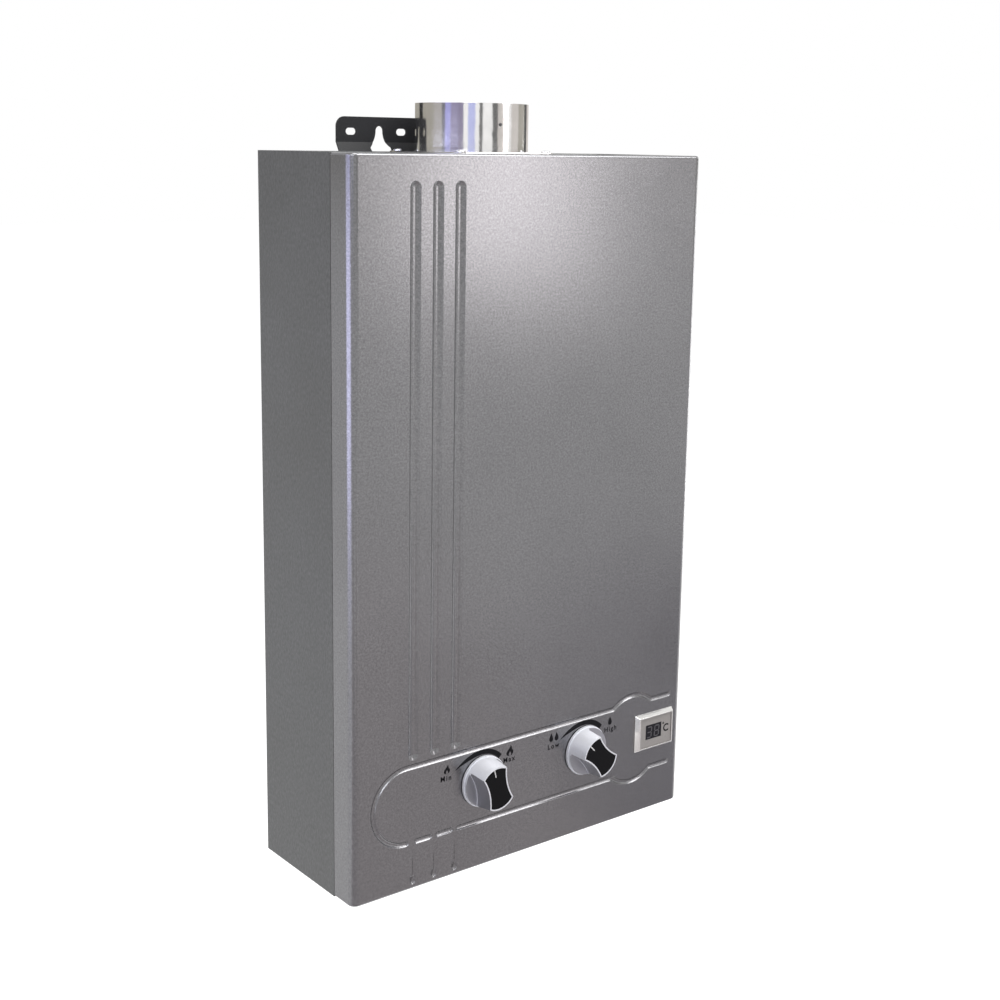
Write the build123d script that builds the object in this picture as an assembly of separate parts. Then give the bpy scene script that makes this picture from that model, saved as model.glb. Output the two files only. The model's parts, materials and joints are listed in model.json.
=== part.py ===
from build123d import *
import math
import os

# Casing
case_width = 358.0
case_height = 590.0
case_depth = 135.0
sheet = 0.8
bend_radius = 1.2
cover_depth = 27.0
cover_edge_radius = 7.0
cover_rim_radius = 2.4
seam_gap = 0.6
lap = 9.0
panel_flange = 10.0
seat = 0.2
overrun = 2.0

# Hanging on the wall
wall_standoff = 6.0
bracket_sheet = 1.6
bracket_end = 14.0
bracket_leaf = 32.0
bracket_rise = 28.0
bracket_fold = 7.4
bracket_corner = 8.0
hanger_rise = 16.0
slot_length = 10.2
slot_width = 5.6
slot_outer = 81.0
slot_inner = 31.0
keyhole_offset = 53.0
keyhole_neck = 3.8
keyhole_neck_rise = 16.9
keyhole_mouth = 10.5
keyhole_mouth_rise = 3.0
foot_length = 120.0
foot_drop = 20.0
foot_hole = 3.0
foot_hole_offset = 45.0
foot_hole_drop = 13.0
rivet_radius = 2.0
rivet_head = 3.6
rivet_height = 1.2
rivet_rise = 12.0

# Flue
flue_to_case_centre = 8.0
flue_back_gap = 6.2
flue_front_gap = 8.2
collar_rise = 39.5
collar_wall = 0.8
flange_border = 4.0
flange_corner = 8.0
flange_screw_inset = 7.0
gasket_thickness = 1.0
collar_hole = 1.7
collar_hole_rise = 22.5
collar_hole_offset = -6.0
collar_seam_width = 0.8
collar_seam_depth = 0.25
neck_rise = 5.0
hood_top = 22.0

# Screws
screw_radius = 1.9
screw_head = 3.7
screw_head_height = 2.0
screw_length = 8.0
cover_screw_offset = 75.0

# Pressed ribs and the outline of the control panel, from the case centre and bottom
rib_offsets = (-121.0, -100.0, -79.0)
rib_width = 9.4
rib_depth = 1.6
rib_top_margin = 20.5
rib_bottom_margin = 5.2
rib_outline_gap = 1.6
outline_width = 4.6
outline_depth = 1.4
outline_top = 106.0
outline_bottom = 41.0
outline_left_margin = 19.5
outline_right_margin = 16.0
bump_from_right = 61.0
bump_half = 22.5
bump_rise = 8.2
bump_fillet = 3.0

# Knobs
control_height = 76.5
gas_knob_offset = -50.5
water_knob_offset = 62.0
gas_pointer_angle = 104.5
water_pointer_angle = 133.5
knob_gap = 0.8
knob_height = 22.0
knob_radius = 22.0
knob_skirt = 2.0
knob_skirt_step = 0.7
knob_face_radius = 18.8
knob_waist = 10.0
knob_scoop_radius = 42.6
knob_ledge = 4.0
knob_rim = 1.1
knob_chamfer = 0.5
knob_recess = 1.0
knob_plate = 0.8
knob_hub = 7.0
knob_wall = 1.8
knob_hollow = 1.6
knob_socket = 12.0
spindle_radius = 4.0
spindle_run = 0.05
spindle_opening = 6.0

# Display
display_from_right = 34.2
display_height = 76.0
bezel_width = 45.5
bezel_height = 35.0
bezel_rise = 4.5
bezel_bevel = 2.5
bezel_rim = 1.0
plate_recess = 1.2
plate_thickness = 1.2
window_width = 19.4
window_height = 13.8
window_shift = 2.4
housing_border = 2.0
housing_depth = 15.0
board_thickness = 1.6

# Water and gas connections
stub_radius = 10.4
stub_neck = 9.5
stub_bore = 7.0
stub_drop = 28.0
stub_hex = 14.0
stub_hex_height = 9.0
stub_clearance = 0.5
valve_from_back = 58.0

# Gas valve
gas_body_width = 52.0
gas_body_depth = 48.0
gas_body_height = 52.0
boss_radius = 10.0
boss_length = 10.0
spindle_insert = 17.0
gas_chamber_radius = 12.0
gas_seat_wall = 10.0
solenoid_flange = 17.0
solenoid_flange_thickness = 4.0
solenoid_radius = 14.0
solenoid_length = 34.0
poppet_radius = 10.0
poppet_thickness = 4.0

# Water valve
water_body_radius = 27.0
water_body_left = 17.0
water_body_right = 34.0
water_cover_length = 12.5
diaphragm_thickness = 1.5
diaphragm_cavity = 21.0
cavity_depth = 6.0
port_boss = 13.0
port_boss_drop = 34.0
drain_offset = 24.0
drain_radius = 6.0
drain_bore = 4.0
drain_knob = 8.0
drain_knob_height = 12.0
drain_knob_flutes = 8
drain_flute = 1.6
drain_run = 0.3

# Push rod, yoke and microswitch
rod_radius = 2.5
rod_run = 0.05
rod_plate_radius = 15.0
rod_plate_thickness = 1.5
rod_plate_gap = 0.3
rod_collar_radius = 7.0
rod_collar_thickness = 4.0
yoke_thickness = 3.0
yoke_drop = 22.0
yoke_half_depth = 12.0
switch_length = 20.0
switch_depth = 7.0
switch_height = 6.0
lever_thickness = 1.0
lever_width = 4.0
lever_reach = 12.0
lever_gap = 0.4
lever_hub = 1.8
lever_pin = 0.8
ear_thickness = 1.2

# Burner
burner_gap = 28.0
burner_height = 42.0
burner_wall = 1.2
burner_row_wall = 0.8
burner_count = 10
burner_row_width = 15.0
burner_row_height = 34.0
burner_port = 1.6
burner_port_depth = 3.0
burner_throat = 4.5
burner_throat_height = 13.0
manifold_radius = 7.0
manifold_gap = 4.0
manifold_boss = 4.0
jet_radius = 2.8
riser_width = 12.0
riser_wall = 2.0
riser_bend = 9.0
riser_forward = 10.0

# Heat exchanger
exchanger_height = 250.0
exchanger_wall = 1.0
side_space = 38.0
front_space = 36.0
fin_count = 8
fin_thickness = 0.6
fin_height = 52.0
fin_tube_radius = 8.0
fin_tube_margin = 12.0
fin_tube_drop = 32.0
fin_tube_reach = 4.0
pipe_radius = 5.0
pipe_bend = 12.0
outlet_gap = 6.5
outlet_jog = 34.0
pipe_clearance = 0.5
coil_rise = 42.0
coil_climb = 12.0
riser_offset = 12.0
electrode_rise = 14.0
electrode_spacing = 44.0
ceramic_radius = 3.0
ceramic_outside = 14.0
ceramic_inside = 5.0
needle_radius = 1.0
needle_length = 18.0
overheat_radius = 8.0
overheat_thickness = 5.0
overheat_drop = 70.0

# Igniter and batteries
igniter_width = 44.0
igniter_depth = 30.0
igniter_height = 72.0
igniter_from_side = 8.0
igniter_from_bottom = 14.0
battery_gap = 2.2
battery_bay_depth = 63.0
battery_bay_height = 35.0
battery_wall = 1.8
battery_from_side = 8.0
battery_from_back = 24.0
battery_flange = 5.0
battery_flange_thickness = 1.6
battery_rail = 1.6
lid_thickness = 2.0
lid_run = 0.3
lid_lip = 1.4
lid_grips = 4
lid_grip_height = 0.8
lid_grip_pitch = 4.0
contact_thickness = 0.8
contact_width = 12.0
contact_height = 20.0

# Air slots of the bottom panel
air_slot_length = 40.0
air_slot_width = 3.5
air_slot_count = 7
air_slot_pitch = 6.5
air_slot_from_back = 24.0

# Reference planes
case_x = flue_to_case_centre
front_y = -wall_standoff - case_depth
back_y = -wall_standoff
seam_y = front_y + cover_depth
case_top = -hanger_rise
case_bottom = case_top - case_height
left_x = case_x - case_width / 2
right_x = case_x + case_width / 2
top_deck = case_top - sheet - seat
bottom_deck = case_bottom + sheet + seat
floor_z = bottom_deck + sheet
collar_radius = (case_depth - cover_depth - flue_front_gap - flue_back_gap) / 2
flue_y = back_y - flue_back_gap - collar_radius
control_z = case_bottom + control_height
valve_y = back_y - valve_from_back
gas_x = case_x + gas_knob_offset
water_x = case_x + water_knob_offset
front = Plane(origin=(case_x, front_y, case_bottom), x_dir=(1, 0, 0), z_dir=(0, -1, 0))

# Stations of the valves along the push rod
gas_left = gas_x - gas_body_width / 2
gas_right = gas_x + gas_body_width / 2
gas_face_y = valve_y - gas_body_depth / 2
boss_y = min(gas_face_y, valve_y - water_body_radius) - boss_length
water_left = water_x - water_body_left
water_right = water_x + water_body_right
diaphragm_left = water_left - diaphragm_thickness
water_cover_left = diaphragm_left - water_cover_length
water_port_z = control_z - port_boss_drop
drain_x = water_x + drain_offset

# Battery bay, between the drain and the casing's right side
battery_left = drain_x + drain_knob + battery_gap + battery_flange
battery_right = right_x - sheet - battery_from_side
battery_back = back_y - battery_from_back
battery_bay_width = battery_right - battery_left

# Stations of the burner and the heat exchanger
back_space = 2 * (pipe_radius + pipe_clearance)
exchanger_half = case_width / 2 - flue_to_case_centre - side_space
exchanger_back = back_y - sheet - back_space
exchanger_front = front_y + front_space
exchanger_y = (exchanger_front + exchanger_back) / 2
fin_tube_pitch = (exchanger_back - exchanger_front) / 2 - fin_tube_margin
burner_bottom = control_z + gas_body_height / 2 + burner_gap
burner_top = burner_bottom + burner_height
exchanger_top = burner_top + exchanger_height
fin_tube_z = exchanger_top - fin_tube_drop
manifold_z = burner_bottom + burner_throat_height
manifold_y = exchanger_front - manifold_gap - manifold_radius
stub_end = case_bottom - stub_drop
hot_x = -exchanger_half - side_space / 2
outlet_x = gas_left - solenoid_flange_thickness - solenoid_length - outlet_gap - pipe_radius


def span(x, y, z):
    """Box between two limits on each axis."""
    centre = [(a + b) / 2 for a, b in (x, y, z)]
    size = [abs(b - a) for a, b in (x, y, z)]
    return Pos(*centre) * Box(*size)


def post(radius, x, y, z):
    """Upright cylinder between two heights."""
    return Pos(x, y, sum(z) / 2) * Cylinder(radius, abs(z[1] - z[0]))


def bar(radius, x, y, z):
    """Cylinder along X between two limits."""
    return Pos(sum(x) / 2, y, z) * Rot(0, 90, 0) * Cylinder(radius, abs(x[1] - x[0]))


def peg(radius, x, y, z):
    """Cylinder along Y between two limits."""
    return Pos(x, sum(y) / 2, z) * Rot(90, 0, 0) * Cylinder(radius, abs(y[1] - y[0]))


def pipe(points, section, bend):
    """Section carried through straight runs and tangent bends."""
    path = FilletPolyline(*points, radius=bend)
    return sweep(Plane(origin=path @ 0, z_dir=path % 0) * section, path=path)


def group(solids):
    """Separate solids that share one node."""
    return Compound(children=list(solids))


def around(count, circle):
    """Places spaced evenly on a circle."""
    angles = [math.radians(360 * i / count) for i in range(count)]
    return [(circle * math.cos(a), circle * math.sin(a)) for a in angles]


def row(count, first, last):
    """Places spaced evenly along a line, ends included."""
    return [first + (last - first) * i / (count - 1) for i in range(count)]


# Casing


def rear_case():
    """Back and sides folded from one sheet, with a stepped tongue behind the cover's skirt."""
    w = case_width / 2
    tongue = w - sheet - seat
    half = [
        (w, back_y),
        (w, seam_y),
        (tongue, seam_y),
        (tongue, seam_y - lap),
        (tongue - sheet, seam_y - lap),
        (tongue - sheet, seam_y + sheet),
        (w - sheet, seam_y + sheet),
        (w - sheet, back_y - sheet),
    ]
    outline = half + [(-x, y) for x, y in reversed(half)]
    profile = make_face(Polyline(*outline, close=True))
    corners = profile.vertices().group_by(Axis.Y)[-1]
    profile = fillet(corners, bend_radius)
    case = Pos(case_x, 0, case_bottom) * extrude(profile, case_height)
    relief = cover_rim_radius + sheet
    tongues_y = (seam_y - lap - overrun, seam_y)
    for z in ((case_bottom - overrun, case_bottom + relief), (case_top - relief, case_top + overrun)):
        case -= span((left_x, right_x), tongues_y, z)
    return case - rivet_holes()


def tray(deck, side):
    """Panel with flanges on three sides, turned to the inside of the casing."""
    half = case_width / 2 - 2 * (sheet + seat)
    x = (case_x - half, case_x + half)
    y = (seam_y - lap, back_y - sheet - seat)
    body = span(x, y, (deck, deck + side * panel_flange))
    inside_x = (x[0] + sheet, x[1] - sheet)
    inside_y = (y[0] - overrun, y[1] - sheet)
    inside_z = (deck + side * sheet, deck + side * (panel_flange + overrun))
    return body - span(inside_x, inside_y, inside_z)


def top_panel():
    """Panel that carries the flue collar."""
    panel = tray(top_deck, -1)
    through = (top_deck - sheet - overrun, top_deck + overrun)
    panel -= post(collar_radius - collar_wall, 0, flue_y, through)
    holes = [post(screw_radius + seat, x, flue_y + y, through) for x, y in collar_screw_places()]
    return panel - holes


def bottom_panel():
    """Panel with the pipe openings, the battery opening and the air slots."""
    panel = tray(bottom_deck, 1)
    through = (bottom_deck - overrun, floor_z + overrun)
    opening = stub_neck + stub_clearance
    panel -= [post(opening, x, valve_y, through) for x in (gas_x, water_x, outlet_x)]
    panel -= post(drain_radius + seat, drain_x, valve_y, through)
    panel -= span(*battery_limits(battery_wall + seat), through)
    slot_y = back_y - air_slot_from_back
    slot = extrude(Rot(0, 0, 90) * SlotOverall(air_slot_length, air_slot_width), amount=overrun, both=True)
    reach = air_slot_pitch * (air_slot_count - 1) / 2
    middle = (gas_x + outlet_x) / 2
    for x in row(air_slot_count, middle - reach, middle + reach):
        panel -= Pos(x, slot_y - air_slot_length / 2, bottom_deck) * slot
    holes = [post(screw_radius + seat, x, y, through) for x, y in cover_screw_places()]
    return panel - holes


def pan(inset):
    """Rounded block of the front cover, drawn in by an inset on every closed side."""
    x = (left_x + inset, right_x - inset)
    y = (front_y + inset, seam_y - seam_gap + inset)
    block = span(x, y, (case_bottom + inset, case_top - inset))
    upright = block.edges().filter_by(Axis.Z).group_by(Axis.Y)[0]
    block = fillet(upright, cover_edge_radius - inset)
    rims = block.faces().sort_by(Axis.Y)[0].edges().filter_by(Axis.X)
    return fillet(rims, cover_rim_radius - inset)


def chord_radius(width, depth):
    """Radius of a round groove of this width and depth."""
    return ((width / 2) ** 2 + depth**2) / (2 * depth)


def bump(start, heading, turn):
    """Kink, arc and kink of the wave in the outline, bulging away from the panel's middle."""
    radius = (bump_half**2 + bump_rise**2) / (2 * bump_rise)
    angle = math.degrees(math.acos((radius + bump_fillet - bump_rise) / (radius + bump_fillet)))
    rise = JernArc(start, heading, bump_fillet, -turn * angle)
    crest = JernArc(rise @ 1, rise % 1, radius, turn * 2 * angle)
    fall = JernArc(crest @ 1, crest % 1, bump_fillet, -turn * angle)
    return [rise, crest, fall]


def bump_reach():
    """Half length of the wave with its rounded kinks."""
    radius = (bump_half**2 + bump_rise**2) / (2 * bump_rise)
    outer = radius + bump_fillet
    return math.sqrt(outer**2 - (outer - bump_rise) ** 2)


def outline_paths():
    """Centre lines of the groove round the control panel, broken where the ribs cross it."""
    half = case_width / 2
    left = -half + outline_left_margin
    right = half - outline_right_margin
    wave = half - bump_from_right
    reach = bump_reach()
    end = (outline_top - outline_bottom) / 2
    gap = rib_width / 2 + rib_outline_gap + outline_width / 2
    top = [Line((right, outline_top), (wave + reach, outline_top))]
    top += bump((wave + reach, outline_top), (-1, 0), 1)
    top.append(Line((wave - reach, outline_top), (left + end, outline_top)))
    stops = sorted(rib_offsets)
    short = math.degrees(math.asin(max(0, left + end - stops[0] + gap) / end))
    top.append(JernArc((left + end, outline_top), (-1, 0), end, 180 - short))
    if stops[0] - gap > left + end:
        top.append(Line((left + end, outline_bottom), (stops[0] - gap, outline_bottom)))
    dashes = [
        Line((a + gap, outline_bottom), (b - gap, outline_bottom)) for a, b in zip(stops, stops[1:])
    ]
    low = [Line((stops[-1] + gap, outline_bottom), (wave - reach, outline_bottom))]
    low += bump((wave - reach, outline_bottom), (1, 0), 1)
    low.append(Line((wave + reach, outline_bottom), (right, outline_bottom)))
    return [Wire(top)] + [Wire([dash]) for dash in dashes] + [Wire(low)]


def rib_paths():
    """Centre lines of the upright ribs, above and below the control panel."""
    tip = rib_width / 2
    upper = (outline_top + outline_width / 2 + rib_outline_gap + tip, case_height - rib_top_margin - tip)
    lower = (rib_bottom_margin + tip, outline_bottom + tip)
    return [Wire([Line((x, a), (x, b))]) for x in rib_offsets for a, b in (upper, lower)]


def pressed(paths, width, depth):
    """Rounded tubes along the paths, sunk into the cover's face by the groove's depth."""
    radius = chord_radius(width, depth)
    tubes = []
    for path in paths:
        line = front * Pos(0, 0, radius - depth) * path
        section = Plane(origin=line @ 0, z_dir=line % 0) * Circle(radius)
        tubes.append(sweep(section, path=line))
        tubes += [Pos(*(line @ end)) * Sphere(radius) for end in (0, 1)]
    return tubes


def backing(paths, width, depth):
    """Flat-bottomed swelling of the sheet behind each groove, run past the groove's ends."""
    y = (front_y + sheet / 2, front_y + sheet + depth)
    swellings = []
    for path in paths:
        line = front * Pos(0, 0, front_y - sum(y) / 2) * path
        across = Plane(origin=line @ 0, x_dir=(0, 1, 0), z_dir=line % 0)
        swellings.append(sweep(across * Rectangle(y[1] - y[0], width + sheet), path=line))
        for end in (0, 1):
            x, _, z = line @ end
            swellings.append(peg((width + sheet) / 2, x, y, z))
    return swellings


def front_cover():
    """Pressed cover with round-bottomed ribs and outline, swelling behind the sheet."""
    cover = pan(0) - pan(sheet)
    shapes = ((rib_paths(), rib_width, rib_depth), (outline_paths(), outline_width, outline_depth))
    for shape in shapes:
        cover += backing(*shape)
    for shape in shapes:
        cover -= pressed(*shape)
    for x in (gas_x, water_x):
        cover -= peg(spindle_opening, x, (front_y - overrun, front_y + sheet + overrun), control_z)
    cover -= display_place(0) * Box(*display_opening(), 2 * (sheet + overrun))
    floor = (case_bottom - overrun, bottom_deck)
    holes = [post(screw_radius + seat, x, y, floor) for x, y in cover_screw_places()]
    return cover - holes


# Brackets on the wall


def bracket_profile(level, side, leaf, fold, rise):
    """Side view of a bracket that steps from the casing's back to the wall."""
    inner = [
        (back_y, level - side * leaf),
        (back_y, level),
        (-bracket_sheet, level + side * fold),
        (-bracket_sheet, level + side * rise),
    ]
    outer = [(y + bracket_sheet, z) for y, z in reversed(inner[1:-1])]
    tip = (0, level + side * rise)
    root = (back_y + bracket_sheet, level - side * leaf)
    return make_face(Plane.YZ * Polyline(*inner, tip, *outer, root, close=True))


def keyhole():
    """Bell-shaped hole, narrow above and wide below."""
    neck = (keyhole_neck, keyhole_neck_rise)
    mouth = (keyhole_mouth, keyhole_mouth_rise)
    flare = TangentArc(neck, mouth, tangent=(0, -1))
    sole = ThreePointArc(mouth, (0, keyhole_mouth_rise - keyhole_mouth), (-mouth[0], mouth[1]))
    other = TangentArc((-neck[0], neck[1]), (-mouth[0], mouth[1]), tangent=(0, -1))
    crown = ThreePointArc((-neck[0], neck[1]), (0, neck[1] + keyhole_neck), neck)
    return make_face(Wire([flare, sole, other, crown]))


def upper_bracket():
    """Hanger with four slots and two keyholes."""
    profile = bracket_profile(case_top, 1, bracket_leaf, bracket_fold, bracket_rise)
    bracket = extrude(profile, slot_outer + bracket_end, both=True)
    corners = bracket.edges().filter_by(Axis.Y).group_by(Axis.Z)[-1]
    bracket = fillet(corners, bracket_corner)
    wall = Plane(origin=(0, 0, 0), x_dir=(1, 0, 0), z_dir=(0, -1, 0))
    deep = wall_standoff + overrun
    for x in (-slot_outer, -slot_inner, slot_inner, slot_outer):
        bracket -= extrude(wall * Pos(x, 0) * SlotOverall(slot_length, slot_width), deep, both=True)
    for x in (-keyhole_offset, keyhole_offset):
        bracket -= extrude(wall * Pos(x, case_top) * keyhole(), deep, both=True)
    return bracket - rivet_holes()


def lower_bracket():
    """Foot of the casing, with two screw holes below the bottom edge."""
    profile = bracket_profile(case_bottom, -1, bracket_leaf, bracket_fold, foot_drop)
    bracket = extrude(profile, foot_length / 2, both=True)
    z = case_bottom - foot_hole_drop
    for x in (-foot_hole_offset, foot_hole_offset):
        bracket -= peg(foot_hole, x, (-wall_standoff, overrun), z)
    return bracket - rivet_holes()


def rivet_places():
    """Rivets of both brackets, on the casing's back."""
    high = case_top - bracket_leaf + rivet_rise
    low = case_bottom + bracket_leaf - rivet_rise
    upper = [(x, high) for x in (-slot_outer, -slot_inner, slot_inner, slot_outer)]
    return upper + [(x, low) for x in (-foot_hole_offset, foot_hole_offset)]


def rivet_holes():
    """Holes for the rivets through a bracket and the casing's back."""
    through = (back_y - sheet - overrun, back_y + bracket_sheet + overrun)
    return [peg(rivet_radius + seat, x, through, z) for x, z in rivet_places()]


def bracket_rivets():
    """Rivets with a flat head on the bracket, set through the casing's back."""
    outside = back_y + bracket_sheet
    rivets = []
    for x, z in rivet_places():
        shank = peg(rivet_radius, x, (back_y - sheet - rivet_height, outside), z)
        rivets.append(shank + peg(rivet_head, x, (outside, outside + rivet_height), z))
    return group(rivets)


# Flue


def flange_half():
    """Half side of the collar's square flange."""
    return collar_radius + flange_border


def collar_screw_places():
    """Screws in the corners of the collar's flange, from the flue's axis."""
    place = flange_half() - flange_screw_inset
    return [(x, y) for x in (-place, place) for y in (-place, place)]


def flange_level():
    """Underside of the collar's flange."""
    return top_deck + gasket_thickness


def flange_plate(level, thickness):
    """Square plate with rounded corners, a round opening and four screw holes."""
    side = 2 * flange_half()
    plate = RectangleRounded(side, side, flange_corner) - Circle(collar_radius - collar_wall)
    plate -= [Pos(x, y) * Circle(screw_radius + seat) for x, y in collar_screw_places()]
    return extrude(Pos(0, flue_y, level) * plate, thickness)


def flue_collar():
    """Rolled outlet with a seam down its front and a fixing hole beside the seam."""
    base = flange_level() + sheet
    rim = case_top + collar_rise
    collar = post(collar_radius, 0, flue_y, (base, rim))
    collar -= post(collar_radius - collar_wall, 0, flue_y, (base - overrun, rim + overrun))
    hole_y = (flue_y - collar_radius - overrun, flue_y - collar_radius / 2)
    collar -= peg(collar_hole, collar_hole_offset, hole_y, case_top + collar_hole_rise)
    seam_x = (-collar_seam_width / 2, collar_seam_width / 2)
    groove_y = (flue_y - collar_radius - overrun, flue_y - collar_radius + collar_seam_depth)
    return collar - span(seam_x, groove_y, (base - overrun, rim + overrun))


def collar_gasket():
    """Sealing sheet under the collar's flange."""
    return flange_plate(top_deck, gasket_thickness)


def collar_flange():
    """Square plate that the collar stands on."""
    return flange_plate(flange_level(), sheet)


def screw(place, side):
    """Pan-head screw, its head on the given side of the seat."""
    head = Pos(0, 0, screw_head_height / 2) * Cylinder(screw_head, screw_head_height)
    shank = Pos(0, 0, -screw_length / 2) * Cylinder(screw_radius, screw_length)
    turn = Rot(0, 0, 0) if side > 0 else Rot(180, 0, 0)
    return Pos(*place) * turn * (head + shank)


def collar_screws():
    """Screws of the collar's flange."""
    level = flange_level() + sheet
    return group(screw((x, flue_y + y, level), 1) for x, y in collar_screw_places())


def exhaust_hood():
    """Tapered hood from the exchanger's top to a round neck inside the collar."""
    shoulder = top_deck - hood_top
    neck_radius = collar_radius - collar_wall - seat
    return (
        hood_cone(0, shoulder)
        + post(neck_radius, 0, flue_y, (shoulder, case_top + neck_rise))
        - hood_cone(sheet, shoulder)
        - post(neck_radius - sheet, 0, flue_y, (shoulder - overrun, case_top + neck_rise + overrun))
    )


def hood_cone(inset, shoulder):
    """Flat-sided taper from the exchanger's outline to the square round the neck."""
    high = shoulder - inset
    half = collar_radius - inset
    wide = exchanger_half - inset
    low = exchanger_top
    across = Polyline((-wide, low), (wide, low), (half, high), (-half, high), close=True)
    near = exchanger_front + inset
    far = exchanger_back - inset
    along = Polyline((near, low), (far, low), (flue_y + half, high), (flue_y - half, high), close=True)
    front_view = extrude(make_face(Plane.XZ * across), wall_standoff + case_depth, both=True)
    side_view = extrude(make_face(Plane.YZ * along), case_width, both=True)
    return front_view & side_view


# Knobs


def knob_outline(inset):
    """Hourglass of a round face with two scooped sides."""
    reach = knob_waist + knob_scoop_radius
    scoop = Circle(knob_scoop_radius + inset)
    return Circle(knob_face_radius - inset) - Pos(reach, 0) * scoop - Pos(-reach, 0) * scoop


def knob():
    """Knob standing on the cover's face, its pointer along local Y."""
    body_radius = knob_radius - knob_skirt_step
    skirt = knob_gap + knob_skirt
    profile = Polyline(
        (0, knob_gap),
        (knob_radius, knob_gap),
        (knob_radius, skirt),
        (body_radius, skirt),
        (knob_face_radius, knob_height),
        (0, knob_height),
        close=True,
    )
    body = revolve(make_face(Plane.XZ * profile), Axis.Z)
    reach = knob_waist + knob_scoop_radius
    tall = knob_height - knob_ledge + overrun
    for x in (-reach, reach):
        body -= Pos(x, 0, knob_ledge + tall / 2) * Cylinder(knob_scoop_radius, tall)
    body = chamfer(body.faces().sort_by(Axis.Z)[-1].edges(), knob_chamfer)
    body -= extrude(Pos(0, 0, knob_height - knob_recess) * knob_outline(knob_rim), knob_recess + overrun)
    hollow = Circle(knob_radius - knob_wall) - Circle(knob_hub)
    body -= extrude(Pos(0, 0, knob_gap) * hollow, knob_hollow)
    socket = knob_socket + overrun
    body -= Pos(0, 0, knob_gap + knob_socket - socket / 2) * Cylinder(spindle_radius + spindle_run, socket)
    return body


def knob_place(offset, angle):
    """Place of a knob on the cover, turned so that its pointer stands at the angle."""
    return front * Pos(offset, control_height, 0) * Rot(0, 0, angle - 90)


def knob_plate_insert():
    """Plate that fills the recess in a knob's face."""
    return extrude(Pos(0, 0, knob_height - knob_recess) * knob_outline(knob_rim + seat / 2), knob_plate)


def spindle(x):
    """Shaft from the valve's boss to the bottom of the knob's socket."""
    ends = (front_y - knob_gap - knob_socket + seat, boss_y + spindle_insert - seat)
    return peg(spindle_radius, x, ends, control_z)


# Display


def display_place(out):
    """Place on the cover's face at the middle of the display, some way out of the face."""
    return front * Pos(case_width / 2 - display_from_right, display_height, out)


def display_opening():
    """Width and height of the bezel's opening."""
    border = 2 * (bezel_bevel + bezel_rim)
    return bezel_width - border, bezel_height - border


def display_bezel():
    """Frame with bevelled sides and a narrow flat rim."""
    slope = math.degrees(math.atan(bezel_bevel / bezel_rise))
    frame = extrude(Rectangle(bezel_width, bezel_height), bezel_rise, taper=slope)
    frame -= Box(*display_opening(), 2 * (bezel_rise + overrun))
    return display_place(0) * frame


def display_plate():
    """Grey plate behind the bezel's rim, with the window's opening."""
    width, height = display_opening()
    plate = Box(width - 2 * seat, height - 2 * seat, plate_thickness)
    plate -= Pos(-window_shift, 0) * Box(window_width, window_height, plate_thickness + overrun)
    return display_place(bezel_rise - plate_recess - plate_thickness / 2) * plate


def display_window():
    """Dark lens in the plate's opening, level with its face."""
    lens = Pos(-window_shift, 0) * Box(window_width - seat, window_height - seat, plate_thickness)
    return display_place(bezel_rise - plate_recess - plate_thickness / 2) * lens


def display_housing():
    """Open box that passes through the cover and carries the plate and the board."""
    width, height = display_opening()
    back = -sheet - housing_depth
    face = bezel_rise - plate_recess - plate_thickness
    half_x = width / 2 - seat
    half_y = height / 2 - seat
    outer = span((-half_x, half_x), (-half_y, half_y), (back, face))
    half_x -= housing_border
    half_y -= housing_border
    inner = span((-half_x, half_x), (-half_y, half_y), (back + housing_border, face + overrun))
    return display_place(0) * (outer - inner)


def display_board():
    """Circuit board on the housing's floor."""
    width, height = display_opening()
    border = 2 * (seat + housing_border + seat)
    back = -sheet - housing_depth + housing_border
    return display_place(back + board_thickness / 2) * Box(width - border, height - border, board_thickness)


# Connections under the casing


def stub(x, top):
    """Connection with a hexagon under the bottom panel and a neck up to its port."""
    shoulder = bottom_deck - stub_hex_height
    hexagon = extrude(Pos(x, valve_y, shoulder) * RegularPolygon(stub_hex, 6), stub_hex_height)
    body = hexagon + post(stub_radius, x, valve_y, (stub_end, shoulder))
    body += post(stub_neck, x, valve_y, (bottom_deck, top))
    return body - post(stub_bore, x, valve_y, (stub_end - overrun, bottom_deck))


def drain_plug():
    """Fluted hand plug under the bottom panel, with its stem up to the valve."""
    head_top = case_bottom - drain_run
    head_bottom = head_top - drain_knob_height
    head = post(drain_knob, drain_x, valve_y, (head_bottom, head_top))
    for a, b in around(drain_knob_flutes, drain_knob):
        head -= post(drain_flute, drain_x + a, valve_y + b, (head_bottom - overrun, head_top + overrun))
    return head + post(drain_bore, drain_x, valve_y, (head_top, water_port_z + drain_knob_height))


# Gas valve


def gas_valve_body():
    """Casting with the chamber along X, the spindle's boss and the rod's guide."""
    x = (gas_left, gas_right)
    y = (gas_face_y, valve_y + gas_body_depth / 2)
    body = span(x, y, (control_z - gas_body_height / 2, control_z + gas_body_height / 2))
    body = fillet(body.edges().filter_by(Axis.Y), boss_radius / 2)
    body += peg(boss_radius, gas_x, (boss_y, gas_face_y), control_z)
    chamber = (gas_left - overrun, gas_right - gas_seat_wall)
    body -= bar(gas_chamber_radius, chamber, valve_y, control_z)
    body -= bar(rod_radius + rod_run, (gas_left, gas_right + overrun), valve_y, control_z)
    return body - spindle_bore(gas_x)


def spindle_bore(x):
    """Blind bore for a spindle, from the boss inwards."""
    return peg(spindle_radius + spindle_run, x, (boss_y - overrun, boss_y + spindle_insert), control_z)


def solenoid_valve():
    """Coil that closes the end of the gas chamber."""
    face = gas_left - solenoid_flange_thickness
    flange = bar(solenoid_flange, (face, gas_left), valve_y, control_z)
    return flange + bar(solenoid_radius, (face - solenoid_length, face), valve_y, control_z)


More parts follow.
